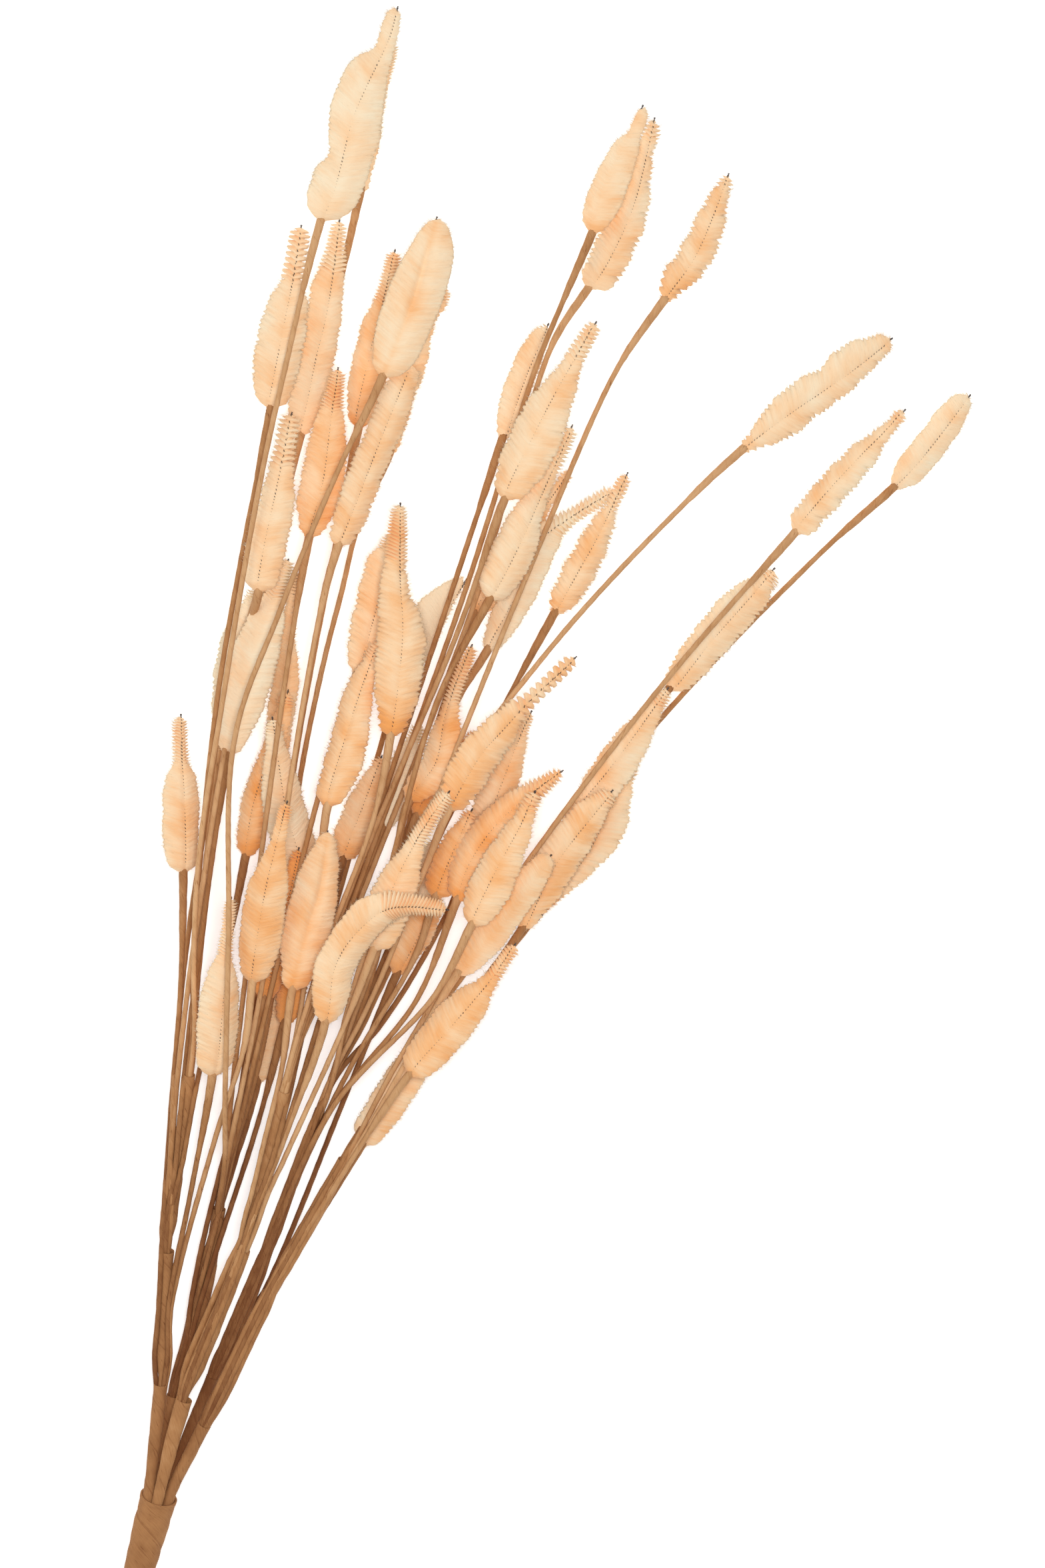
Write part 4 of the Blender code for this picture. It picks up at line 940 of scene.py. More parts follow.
def lay_out():
    """Lay the stalks out once."""
    if not Sprays.stalks:
        Sprays.stalks, Sprays.sheaths = layout()
        Sprays.shift = shift_to_frame()


def ripple(runs, number, amount):
    """A gentle unevenness along a piece, the same for the same number."""
    return 1 + amount * sum(height * np.sin(2 * pi * (runs / length + number * step % 1))
                            for height, length, step in WAVES)


def eased(at, knots, values):
    """Values between the knots on a smooth curve that doesn't overshoot."""
    steps = np.diff(knots)
    rises = np.diff(values) / steps
    slopes = np.concatenate([[rises[0]], np.zeros(len(knots) - 2), [rises[-1]]])
    same = rises[:-1] * rises[1:] > 0
    slopes[1:-1][same] = 2 * (rises[:-1] * rises[1:] / (rises[:-1] + rises[1:]))[same]
    low = np.clip(np.searchsorted(knots, at, side="right") - 1, 0, len(steps) - 1)
    u = (at - knots[low]) / steps[low]
    return hermite(u, steps[low], values[low], values[low + 1], slopes[low], slopes[low + 1])


def unit(vectors):
    """The vectors at length one."""
    return vectors / np.maximum(np.linalg.norm(vectors, axis=-1, keepdims=True), 1e-12)


def frames_along(points, tilt=0.0):
    """Directions at each point of a line: to its side, to its top and along it."""
    along = unit(np.gradient(points, axis=0))
    across = unit(np.cross(along, (0, 0, 1)))
    up = np.cross(across, along)
    return cos(tilt) * across + sin(tilt) * up, cos(tilt) * up - sin(tilt) * across, along


def placed(base, ways, at, *steps):
    """Places that are so many steps from the base places, along directions of a
    line's points with the numbers in at."""
    for way, step in zip(ways, steps):
        base = base + step[:, None] * way[at]
    return base


@lru_cache(maxsize=None)
def straight_tube(rings, sides):
    """A closed straight tube, with the ring and the turn of each of its points."""
    bm = bmesh.new()
    bmesh.ops.create_cone(bm, cap_ends=True, segments=sides, radius1=1, radius2=1,
                          depth=rings - 1)
    upright = [edge for edge in bm.edges
               if abs(edge.verts[0].co.z - edge.verts[1].co.z) > 0.5]
    bmesh.ops.subdivide_edges(bm, edges=upright, cuts=rings - 2)
    mesh = bpy.data.meshes.new("straight_tube")
    bm.to_mesh(mesh)
    bm.free()
    places = np.array([vert.co for vert in mesh.vertices])
    ring = np.rint(places[:, 2] + (rings - 1) / 2).astype(int)
    return mesh, ring, np.arctan2(places[:, 1], places[:, 0])


@lru_cache(maxsize=None)
def loose_fibres(count):
    """Many three-sided fibres, with each point's fibre and place on the fibre."""
    spacing = 4
    bm = bmesh.new()
    bmesh.ops.create_cone(bm, cap_ends=True, segments=3, radius1=1, radius2=0, depth=1)
    bmesh.ops.remove_doubles(bm, verts=bm.verts[:], dist=0.0001)
    bmesh.ops.translate(bm, verts=bm.verts[:], vec=(0, 0, 0.5))
    made = 1
    while made < count:
        geom = bm.verts[:] + bm.edges[:] + bm.faces[:]
        copied = bmesh.ops.duplicate(bm, geom=geom)["geom"]
        verts = [item for item in copied if isinstance(item, bmesh.types.BMVert)]
        bmesh.ops.translate(bm, verts=verts, vec=(made * spacing, 0, 0))
        made *= 2
    spare = [vert for vert in bm.verts if vert.co.x > (count - 0.5) * spacing]
    bmesh.ops.delete(bm, geom=spare, context="VERTS")
    mesh = bpy.data.meshes.new("loose_fibres")
    bm.to_mesh(mesh)
    bm.free()
    places = np.array([vert.co for vert in mesh.vertices])
    owner = np.rint(places[:, 0] / spacing).astype(int)
    places[:, 0] -= owner * spacing
    return mesh, owner, places


class Heap:
    """Parts of one piece, gathered with their points, patterns, tones and, for
    tape, how many times it has been wound."""

    def __init__(self):
        self.meshes, self.places, self.patterns, self.tones = [], [], [], []
        self.winds = []

    def add(self, mesh, places, pattern, tone, wind=0.0):
        """Add a part, with one tone and wind or one for each point."""
        self.meshes.append(mesh)
        self.places.append(places)
        self.patterns.append(pattern)
        self.tones.append(np.broadcast_to(tone, len(places)))
        self.winds.append(np.broadcast_to(wind, len(places)))

    def piece(self, name, made, replaced=()):
        """Finish the piece, which rides on the root body."""
        bm = bmesh.new()
        for mesh in self.meshes:
            bm.from_mesh(mesh)
        whole = bpy.data.meshes.new(name)
        bm.to_mesh(whole)
        bm.free()
        whole.vertices.foreach_set("co", np.concatenate(self.places).astype(np.float32).ravel())
        pattern = whole.attributes.new("pattern", "FLOAT_VECTOR", "POINT")
        pattern.data.foreach_set("vector", np.concatenate(self.patterns).astype(np.float32).ravel())
        for label, values in (("tone", self.tones), ("wind", self.winds)):
            kept = whole.attributes.new(label, "FLOAT", "POINT")
            kept.data.foreach_set("value", np.concatenate(values).astype(np.float32))
        whole.materials.append(made)
        whole.update()
        whole.shade_smooth()
        thing = bpy.data.objects.new(name, whole)
        bpy.context.scene.collection.objects.link(thing)
        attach(thing, "root")
        if replaced:
            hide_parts(*replaced)


def tape_tube(heap, line, radii, number, sides, tone, seam, guide=None, slant=0.0, flat=1.0):
    """Add a tube of tape wound round a line, with its spiral seam as a step. A
    guide gives, for each point of a line that turns back, the point beside it
    whose directions it has."""
    mesh, ring, turn = straight_tube(len(line), sides)
    if guide is None:
        guide = np.arange(len(line))
    ways = [way[guide] for way in frames_along(line[:guide.max() + 1])]
    runs = run_of(line)
    wind = runs / seam + number * WIND_CHANGE
    wound = (wind[ring] + turn / (2 * pi)) % 1
    radius = radii[ring] + SEAM_STEP * (wound - 0.5) * np.minimum(1, radii[ring] / FULL_SEAM)
    radius *= ripple(runs, number, TAPE_RIPPLE)[ring]
    to_side, to_top = radius * np.sin(turn), radius * np.cos(turn)
    places = placed(line[ring], ways, ring, to_side, flat * radius * np.cos(turn))
    if slant:
        near_mouth = np.clip(1 - np.abs(runs[guide.max()] - runs) / SLANT_REACH, 0, 1)[ring]
        places -= (slant * near_mouth * radius * np.cos(turn))[:, None] * ways[2][ring]
    pattern = np.column_stack([to_top, to_side, runs[ring] + number * TAPE_CHANGE])
    tone = np.broadcast_to(tone, len(line))[ring]
    shade = tone + TAPE_PATCHES * (ripple(runs, number + 3, 1.0)[ring] - 1)
    heap.add(mesh, places, pattern, shade, wind[ring])


def hollow_end(line, radii, wall, depth):
    """A line and its radii carried over a mouth's edge and back inside it, with
    the number of the line's point beside each point."""
    runs = run_of(line)
    inner_runs = runs[-1] - np.linspace(0, depth, INNER_RINGS)
    inner_line = at_runs(line, inner_runs)
    inner_radii = np.interp(inner_runs, runs, radii) - wall
    beside = np.clip(np.searchsorted(runs, inner_runs), 0, len(runs) - 1)
    guide = np.concatenate([np.arange(len(runs)), beside])
    return np.vstack([line, inner_line]), np.concatenate([radii, inner_radii]), guide


def smooth_step(share):
    """A share from nothing to all, eased at both ends."""
    share = np.clip(share, 0, 1)
    return share * share * (3 - 2 * share)


def evened(values):
    """Values evened out over a few neighbours along a line."""
    padded = np.pad(values, EVENED // 2, mode="edge")
    return sum(padded[k:k + len(values)] for k in range(EVENED)) / EVENED


def core_share(runs, mouth):
    """How much of its full width a sheath has at runs past the mouth before it."""
    return CORE_START + (1 - CORE_START) * smooth_step((runs - mouth) / CORE_GROWTH)


def shown_mouth(stalk):
    """The number of the mouth from which a stem is seen."""
    return 0 if stalk.name in EARLY else stalk.head.mouth - 1


def bare_stem(stalk):
    """A stem's middle line and radii with its collar, ending under the middle of
    the pile's base."""
    end = stalk.base_run + STEM_IN_HEAD
    runs = np.linspace(0, end, max(STEM_LEAST, round(end / STEM_SPAN)))
    knots = np.append(stalk.stem_runs, stalk.base_run + stalk.length)
    line = np.column_stack([at_runs(stalk.path, runs), eased(runs, knots, stalk.heights)])
    right, left = OUTLINES.get(stalk.name, ((0,), (0,)))
    off = PIXEL * (right[0] - left[0]) / 2 * smooth_step(1 - (stalk.base_run - runs) / HEAD_PULL)
    to_right = frames_along(line)[0]
    line[:, :2] += off[:, None] * to_right[:, :2]
    past = runs - (stalk.base_run - COLLAR_LENGTH - COLLAR_STEP)
    step = np.clip(past / COLLAR_STEP, 0, 1)
    bump = np.exp(-(past / COLLAR_BUMP) ** 2)
    swell = np.clip(past / COLLAR_LENGTH, 0, 1)
    thick = THIN_COLLAR * COLLAR_RADIUS * (0.8 + 0.2 * swell)
    return line, STEM_RADIUS * (THIN_STEM + 0.2 * bump) + (thick - STEM_RADIUS) * step


def stem_line(stalk, slot):
    """A stem's middle line from its mouth into its head, with its radius. Next
    to the sheath it lies on it at its slot, from -1 (left) to 1 (right)."""
    whole, mouths = Sprays.sheaths[stalk.head.branch]
    spine_runs = run_of(whole[:, :3])
    line, radii = bare_stem(stalk)
    shown, own = mouths[shown_mouth(stalk)], mouths[stalk.head.mouth - 1]
    if shown < own:
        # It starts at the earlier mouth, along the sheath
        first = spine_runs[np.linalg.norm(whole[:, :2] - line[0, :2], axis=1).argmin()]
        extra = np.arange(shown - ROOT_DEPTH, first - STEM_SPAN / 2, STEM_SPAN)
        line = np.vstack([at_runs(whole, extra)[:, :3], line])
        radii = np.concatenate([np.full(len(extra), STEM_RADIUS), radii])

    # The sheath's nearest point, its directions, and how wide it is there
    apart = np.linalg.norm(line[:, None, :2] - whole[None, :, :2], axis=2)
    near = apart.argmin(axis=1)
    spine, at = whole[near], spine_runs[near]
    along = unit(np.gradient(whole[:, :2], axis=0))[near]
    across = np.column_stack([along[:, 1], -along[:, 0]])
    to_side = ((line[:, :2] - spine[:, :2]) * across).sum(axis=1)
    share = np.ones(len(line))
    layers = np.zeros(len(line))
    for mouth in mouths[:-1]:
        share = np.where(at >= mouth, core_share(at, mouth), share)
        layers += smooth_step((at - mouth) / CORE_GROWTH) * (mouth > shown)
    last = near == len(whole) - 1
    core = np.where(last, 0, spine[:, 3] * share)
    room = spine[:, 3] - MOUTH_WALL - 0.9 * STEM_RADIUS
    reach = evened(np.where(at < shown, room, core + 0.85 * radii))

    # It is held at its slot, and on the sheath or inside it, until it parts
    past = np.maximum(at - own, apart.min(axis=1) * last)
    hold = 1 - smooth_step(past / PARTING)
    moved = to_side + (slot * reach - to_side) * hold
    line[:, :2] += (moved - to_side)[:, None] * across
    above = np.sqrt(np.maximum(0, reach ** 2 - moved ** 2))
    on_top = spine[:, 2] + above + OVERLAY * layers
    inside = spine[:, 2] + np.clip(line[:, 2] - spine[:, 2], -0.6 * above, 0.6 * above)
    lifted = np.where(at < shown, inside, np.maximum(line[:, 2], on_top))
    lifted = np.where(last, line[:, 2] + (lifted - line[:, 2]) * hold, lifted)
    line[:, 2] = np.where(past > FREE_PAST, line[:, 2], evened(lifted))
    runs = run_of(line)
    line = line + Sprays.shift
    if stalk.name in HIDDEN:
        # It stays at its own head's base
        from_end = 1 - runs / runs[-1]
        room = room_under(HIDDEN[stalk.name], line)
        room = room + ROOM_BESIDE * smooth_step(1 - from_end / KEPT_END)
        line[:, 2] = evened(np.minimum(line[:, 2], room))
    return line, radii * (ROOT_SHARE + (1 - ROOT_SHARE) * smooth_step(runs / ROOT_TAPER))


def room_under(name, line):
    """How high each point of a line may lie and still be hidden by a head."""
    pile = Pile(list(HEADS).index(name))
    runs = np.linspace(0, pile.end, HIDING_STEPS)
    axis = pile.middle(runs)
    middle, half = pile.reach(runs)
    axis += middle[:, None] * frames_along(axis)[0]
    apart = np.linalg.norm(line[:, None, :2] - axis[None, :, :2], axis=2)
    near = apart.argmin(axis=1)
    beside = smooth_step(apart.min(axis=1) / np.maximum(half[near], 0.001) - 0.8)
    return axis[near, 2] - PILE_FLATNESS * half[near] - STEM_RADIUS + ROOM_BESIDE * beside


def slots(stalks):
    """Where the stems of a branch lie on its sheath, side by side by mouth."""
    taken = {}
    for mouth in range(3):
        group = [stalk for stalk in stalks if shown_mouth(stalk) == mouth]
        group.sort(key=lambda stalk: stalk.stem[STEM_RINGS // 2][0])
        even = np.linspace(-1, 1, len(group) + 2)[1:-1]
        places = SLOTS.get((stalks[0].head.branch, mouth), 1.2 * even)
        for place, stalk in zip(places, group):
            taken[stalk.name] = place
    return taken


def shadiness(line):
    """How much painted shade darkens the tape where the stems and sheaths crowd together."""
    return SHADED * smooth_step((SHADE_STARTS - line[:, 1]) / (SHADE_STARTS - SHADE_FULL))


def stem_tone(line, layer, index):
    """The tone of a stem's tape along it, differing from stem to stem, with painted shade on stems of
    lower layers. Of the crowded stems those that lie low, behind the others, get painted shade and
    those that lie high painted light, and free ones get painted light."""
    tone = STEM_TONE + LAYER_PAINTED_SHADE * layer + STEM_VARIES * sin(index * 2.3)
    # Painted shade and light by height among the crowded stems, painted shade where they crowd,
    # painted light where they stand free
    height_shade = np.clip((line[:, 2] - LOW_STEMS) / (HIGH_STEMS - LOW_STEMS), 0, 1) - 0.5
    crowd, free = shadiness(line), smooth_step(line[:, 1] / FREE_ABOVE)
    tone = tone + (LOW_PAINTED_SHADE + crowd) * height_shade * (1 - free) - crowd + FREE_PAINTED_LIGHT * free
    return np.maximum(tone, DEEPEST)


def add_sheaths(heap, name, number):
    """Add a branch's sheaths, each from inside the mouth before it to its own."""
    whole, mouths = Sprays.sheaths[name]
    flat = MIDDLE_FLATNESS if name == "middle" else 1.0
    start = 0.0
    for count, mouth in enumerate(mouths):
        runs = np.linspace(start, mouth, round((mouth - start) / SHEATH_SPAN))
        points = at_runs(whole, runs)
        line, radii = points[:, :3] + Sprays.shift, points[:, 3].copy()
        if count:
            radii *= core_share(runs, mouths[count - 1])
        line, radii, guide = hollow_end(line, radii, MOUTH_WALL, MOUTH_DEPTH)
        # Painted shade where the sheaths crowd together
        tone = SHEATH_TONES[name] - 0.5 * shadiness(line)
        tape_tube(heap, line, radii, number + 5 * count, SHEATH_SIDES, tone, SHEATH_SEAM,
                  guide, MOUTH_SLANT, flat)
        start = mouth - ROOT_DEPTH / 2


def add_branch(name, made):
    """Make one branch: its sheaths with their mouths, and its stems."""
    heap = Heap()
    number = list(BRANCHES).index(name)
    add_sheaths(heap, name, number)
    seam = bpy.context.scene.spray_tape.seam
    mine = [stalk for stalk in Sprays.stalks if stalk.head.branch == name]
    places = slots(mine)
    for index, stalk in enumerate(mine):
        line, radii = stem_line(stalk, places[stalk.name])
        tone = stem_tone(line, stalk.head.layer, index)
        tape_tube(heap, line, radii, index + 11 * number, STEM_SIDES, tone, seam)
    heap.piece("taped_" + name, made, ["branch_" + name])


def add_wrap(made):
    """Make the wrap: wound tape with a folded rim, open at the top."""
    heap = Heap()
    cut, rim = (np.array(point) for point in wrap_axis())
    outer = np.linspace(0, 1, WRAP_RINGS)
    line = cut + outer[:, None] * (rim - cut)
    radii = WRAP_RADIUS_CUT + outer * (WRAP_RADIUS_RIM - WRAP_RADIUS_CUT)
    from_rim = (1 - outer) * np.linalg.norm(rim - cut)
    for rise, place, blend in WRAP_FOLDS:
        radii += rise * (1 / (1 + np.exp((from_rim - place) / blend)))
    radii -= WRAP_SLACK
    line, radii, guide = hollow_end(line + Sprays.shift, radii, WRAP_WALL + WRAP_RIM_WALL,
                                    WRAP_DEPTH)
    tape_tube(heap, line, radii, 2, WRAP_FACETS, WRAP_TONE, WRAP_SEAM, guide, WRAP_SLANT)
    heap.piece("taped_wrap", made, ["main_wrap"])


class Pile:
    """The shape and tones of one head's pile."""

    def __init__(self, number):
        stalk = Sprays.stalks[number]
        self.stalk, self.number = stalk, number
        self.look = LOOKS[stalk.name]
        plain = np.array(PLAIN_OUTLINE) * stalk.half_width / PIXEL
        fuzzy = np.clip(2 * (self.look.teeth - SMOOTH_TEETH), 0, 1)
        self.sides = [(1 + FUZZ_GROWTH * fuzzy) * np.array(side) * PIXEL + FUZZ_REACH * fuzzy
                      for side in OUTLINES.get(stalk.name, (plain, plain))]
        self.stations = np.linspace(0, stalk.length, len(PLAIN_OUTLINE))
        self.end = stalk.length - WIRE_BARE * self.look.wire
        self.neck = stalk.length * (1 - stalk.head.neck) if self.look.neck else stalk.length
        self.pitch = max(self.look.neck, FINEST_PITCH) / 1000

    def middle(self, runs):
        """Points of the head's middle line."""
        shares = runs / self.stalk.length
        heights = self.stalk.heights[-2] * (1 - shares) + self.stalk.heights[-1] * shares
        places = at_runs(self.stalk.path, self.stalk.base_run + np.minimum(runs, self.stalk.length))
        return np.column_stack([places, heights]) + Sprays.shift

    def wire_at(self, runs):
        """How far the wire lies to the right of the middle line."""
        places = np.array(self.look.wire_at) * PIXEL
        return np.interp(runs, self.stalk.length * np.array([0, 0.5, 1]), places)

    def reach(self, runs):
        """Middle and half width of the outline, rounded at its base and tip."""
        right, left = (eased(runs, self.stations, side) for side in self.sides)
        base = np.sqrt(np.clip(0.03 + runs / BASE_ROUND, 0, 1))
        tip = np.sqrt(np.clip(0.02 + (self.end - runs) / TIP_ROUND, 0, 1))
        middle, half = (right - left) / 2, (right + left) / 2
        return middle, np.maximum(half, LEAST_HALF) * base * tip

    def rows(self):
        """Runs of the rings: three to a row of the body, more to one of the neck."""
        body = np.arange(0, self.neck, BODY_ROW / 3)
        neck = np.arange(self.neck, self.end, self.pitch / 6)
        return np.concatenate([body, neck[neck < self.end - 0.0003], [self.end]])

    def under_wire(self, runs):
        """The turn round the pile at which the wire lies on it."""
        middle, half = self.reach(runs)
        return np.arcsin(np.clip((self.wire_at(runs) - middle) / half, -0.8, 0.8))

    def surface(self, runs, turn):
        """Places to the side, to the top and forward of points round the pile."""
        q, c = np.sin(turn), np.cos(turn)
        wire = self.wire_at(runs)
        slant = ROW_SLANT * np.clip(runs / SLANT_IN, 0, 1)
        slant = slant * np.clip((self.end - runs) / SLANT_OUT, 0, 1)
        forward = np.zeros(len(runs))
        for _ in range(3):
            middle, half = self.reach(runs + forward)
            side = middle + half * q
            forward = np.clip(slant * np.abs(side - wire), 0, self.end - runs)
        in_neck = np.clip((runs - self.neck) / NECK_START, 0, 1)

        # Rows of teeth on the body, their crests set off between the two sides
        uneven = ripple(2.7 * runs, self.number + 23, 1.0) - 1
        crest = 0.5 + 0.5 * np.cos(2 * pi * runs / BODY_ROW + ROW_WANDER * uneven) * np.sign(q)
        depth = np.minimum(self.look.teeth / 1000, 0.3 * half)
        depth = depth * (1 - crest) * (1 + DEPTH_VARIES * uneven)
        body_side = side - np.sign(q) * (SMOOTH_FUZZ + 1.5 * depth) * np.abs(q) ** 1.5

        # A screw of bristles round the neck's core
        screw = smooth_step(1.5 * (0.5 + 0.5 * np.cos(2 * pi * runs / self.pitch + turn)))
        neck_side = wire + (side - wire) * (NECK_CORE + (1 - NECK_CORE) * screw)
        side = body_side + (neck_side - body_side) * in_neck
        thick = half * (PILE_FLATNESS + (NECK_ROUNDNESS - PILE_FLATNESS) * in_neck)
        thick = thick * (1 - 0.5 * in_neck * (1 - NECK_CORE) * (1 - screw))

        # A shallow valley over the wire, a fold where the crease is deep, a groove
        from_wire = side - wire
        valley = min(self.look.crease, DEEP_CREASE) * np.exp(-(from_wire / (CREASE_WIDTH * half)) ** 2)
        fold = 2 * max(0.0, self.look.crease - DEEP_CREASE)
        fold = fold * np.sin(pi * (runs / self.end) ** 1.5) ** 2
        valley = valley + fold * np.exp(-(from_wire / (FOLD_WIDTH * half)) ** 2)
        top = thick * np.sign(c) * np.abs(c) ** 1.8 * (1 - valley)
        top *= 1 - 0.07 * (1 - crest) * np.abs(q)
        notch = GROOVE_DEPTH * self.look.wire * np.exp(-(from_wire / GROOVE_WIDTH) ** 2)
        return side, top - np.sign(c) * notch * np.abs(c), forward

    def tone(self, runs, side, top):
        """Tone of the pile, from pale (0) to orange (1), at places on it."""
        half = self.stalk.half_width
        patch = PATCH_TONE * (ripple(runs + 0.3 * side, self.number + 7, 1.0) - 1)
        across = ACROSS_TONE * side / half * sin(self.number * 1.9)
        base = BASE_TONE * self.look.blush * np.exp(-runs / BLUSH_REACH)
        # A band along the wire, partly the pile's own warmer colour and partly painted shade in its
        # groove, with much more painted shade down a deep crease
        wire_band_and_crease_shade = np.exp(-((side - self.wire_at(runs)) / WIRE_BAND_WIDTH) ** 2)
        wire_band_and_crease_shade *= WIRE_TONE + CREASE_PAINTED_SHADE * max(0.0, self.look.crease - DEEP_CREASE)
        neck = NECK_TONE * np.clip((runs - self.neck) / NECK_WINDOW, 0, 1)
        # Painted light: the pile is paler towards its edges, for light that shines through the thin
        # fuzz there
        edge = EDGE_PAINTED_LIGHT * np.clip(np.abs(side) / half, 0, 1) ** 3
        # Painted shade: the underside of the pile is darker
        under = UNDERSIDE_PAINTED_SHADE * (top < 0)
        return self.look.tone + patch + across + base + wire_band_and_crease_shade + neck + edge + under


def add_body(heap, pile, rng):
    """Add a head's body, with its rows of teeth, bristly neck and groove."""
    rows = pile.rows()
    mesh, ring, angle = straight_tube(len(rows), HEAD_SIDES)
    turn = angle - 0.35 * np.sin(2 * angle)
    # A column of points follows the wire, so that its groove is sharp
    turn = turn + pile.under_wire(rows)[ring] * np.cos(turn) * np.abs(np.cos(turn))
    line = pile.middle(rows)
    side, top, forward = pile.surface(rows[ring], turn)
    places = placed(line[ring], frames_along(line, pile.stalk.tilt), ring, side, top, forward)
    places[:, 2] = np.maximum(places[:, 2], 0.0002)
    by_row = 0.06 * rng.standard_normal(len(rows))
    tone = pile.tone(rows[ring], side, top) + by_row[ring] * np.abs(np.sin(turn))
    pattern = np.column_stack([side, top, rows[ring] + pile.number * PILE_CHANGE])
    heap.add(mesh, places, pattern, tone)


def fibre_roots(pile, rng):
    """Where a head's fibres leave it: their runs, their turns round the pile, and
    which of them stand singly on its top. The others are tufts at the rows' ends."""
    body_rows = np.arange(0.001, min(pile.neck, pile.end), BODY_ROW)
    neck_rows = np.arange(pile.neck, pile.end - 0.0005, pile.pitch)
    runs = np.repeat(np.concatenate([body_rows, neck_rows]), 2 * ROW_FIBRES)
    right = np.tile(np.repeat([True, False], ROW_FIBRES), len(runs) // (2 * ROW_FIBRES))
    in_neck = runs >= pile.neck
    pitch = np.where(in_neck, pile.pitch, BODY_ROW)
    runs = runs + np.where(right, 0, 0.5 * pitch) - np.where(in_neck, 0.25 * pitch, 0)
    runs = np.clip(runs + 0.2 * pitch * rng.standard_normal(len(runs)), 0.0004, pile.end)
    turn = np.where(right, pi / 2, -pi / 2) + TUFT_SPREAD * rng.standard_normal(len(runs))
    all_runs = np.concatenate([runs, rng.uniform(0.001, pile.end - 0.001, TOP_FIBRES)])
    turn = np.concatenate([turn, rng.uniform(-TOP_SPREAD, TOP_SPREAD, TOP_FIBRES)])
    loose = np.arange(len(all_runs)) >= len(runs)
    order = np.argsort(all_runs, kind="stable")
    return all_runs[order], turn[order], loose[order]


def add_fibres(heap, pile, rng):
    """Add the fibres that leave a head's body."""
    runs, turn, loose = fibre_roots(pile, rng)
    count = len(runs)
    side, top, forward = pile.surface(runs, turn)
    line = pile.middle(np.linspace(0, pile.end, FIBRE_FRAMES))
    ways = frames_along(line, pile.stalk.tilt)
    at = np.clip(np.rint(runs / pile.end * (FIBRE_FRAMES - 1)).astype(int), 0, FIBRE_FRAMES - 1)
    inwards = np.where(loose, TOP_ROOT, TUFT_ROOT)
    wire = pile.wire_at(runs)
    root = placed(pile.middle(runs), ways, at, wire + (side - wire) * inwards, top * inwards,
                  forward * inwards)

    # They point away from the wire and to the tip, the single ones a little up
    side_way, top_way, along = (way[at] for way in ways)
    out = np.sign(side - wire + 1e-9)
    lift = np.where(loose, 0.06 + 0.08 * rng.random(count), 0.35 * np.cos(turn))
    lift = lift * np.sign(top + 1e-9)
    ahead = ROW_SLANT + AHEAD_SPREAD * rng.standard_normal(count)
    direction = unit(out[:, None] * side_way + ahead[:, None] * along + lift[:, None] * top_way
                     + FIBRE_WANDER * rng.standard_normal((count, 3)))
    teeth = SMOOTH_FUZZ + 0.5 * pile.look.teeth / 1000
    teeth = np.where(runs >= pile.neck, NECK_TUFT, teeth)
    single = TOP_LENGTH + TOP_UNEVEN * rng.random(count)
    tuft = TUFT_SHARE * np.abs(side - wire) + teeth + TUFT_UNEVEN * rng.random(count)
    length = np.where(loose, single, tuft)
    fibre = bpy.context.scene.spray_pile.fibre
    radius = fibre * np.where(loose, TOP_THICK, TUFT_THICK) * (0.8 + 0.4 * rng.random(count))
    mesh, owner, local = loose_fibres(count)
    one = unit(np.cross(direction, top_way + 0.3 * along))
    two = np.cross(direction, one)
    places = placed(root[owner], (one, two, direction), owner, radius[owner] * local[:, 0],
                    radius[owner] * local[:, 1], length[owner] * local[:, 2])
    places[:, 2] = np.maximum(places[:, 2], 0.0001)
    # Painted light: the fibres are paler than the pile, for light that shines through them
    tone = pile.tone(runs, side, top) + FIBRE_PAINTED_LIGHT + 0.05 * rng.standard_normal(count)
    pattern = np.column_stack([side, top, runs + pile.number * PILE_CHANGE])
    heap.add(mesh, places, pattern[owner], tone[owner] - 0.05 * local[:, 2])


def add_wire(heap, pile):
    """Add one head's wire: two strands twisted together along its middle. Each
    strand rises out of the pile's groove once a twist."""
    settings = bpy.context.scene.spray_wire
    runs = np.arange(-WIRE_ROOT, pile.stalk.length + WIRE_TIP, WIRE_SPAN)
    inside = np.clip(runs, 0, pile.end)
    mesh, ring, turn = straight_tube(len(runs), STRAND_SIDES)
    ways = frames_along(pile.middle(np.linspace(0, pile.end, len(runs))), pile.stalk.tilt)
    rows = pile.rows()
    groove = evened(pile.surface(rows, pile.under_wire(rows))[1])
    uneven = ripple(runs, pile.number + 17, 1.0) - 1
    window = np.minimum(inside / WIRE_IN, (pile.end - inside) / WIRE_OUT)
    window = np.clip(window, 0, 1)
    rise = settings.strand + (TWIST_RISE - settings.strand) * window
    in_neck = np.clip((runs - pile.neck) / NECK_WINDOW, 0, 1)
    shown = WIRE_SHOWN * (1 + 0.6 * uneven + 0.5 * in_neck)
    lift = np.interp(inside, rows, groove) + shown - rise - settings.strand
    lift = lift * window * pile.look.wire
    phase = 2 * pi * runs / settings.twist + 1.5 * uneven
    round_side, round_top = settings.strand * np.sin(turn), settings.strand * np.cos(turn)
    for sign in (1, -1):
        to_side = pile.wire_at(inside) + sign * TWIST_SIDE * np.cos(phase)
        to_top = lift + sign * rise * np.sin(phase)
        centre = placed(pile.middle(inside), ways, slice(None), to_side, to_top, runs - inside)
        places = placed(centre[ring], ways, ring, round_side, round_top)
        heap.add(mesh, places, np.column_stack([round_top, round_side, runs[ring]]), 0.5)


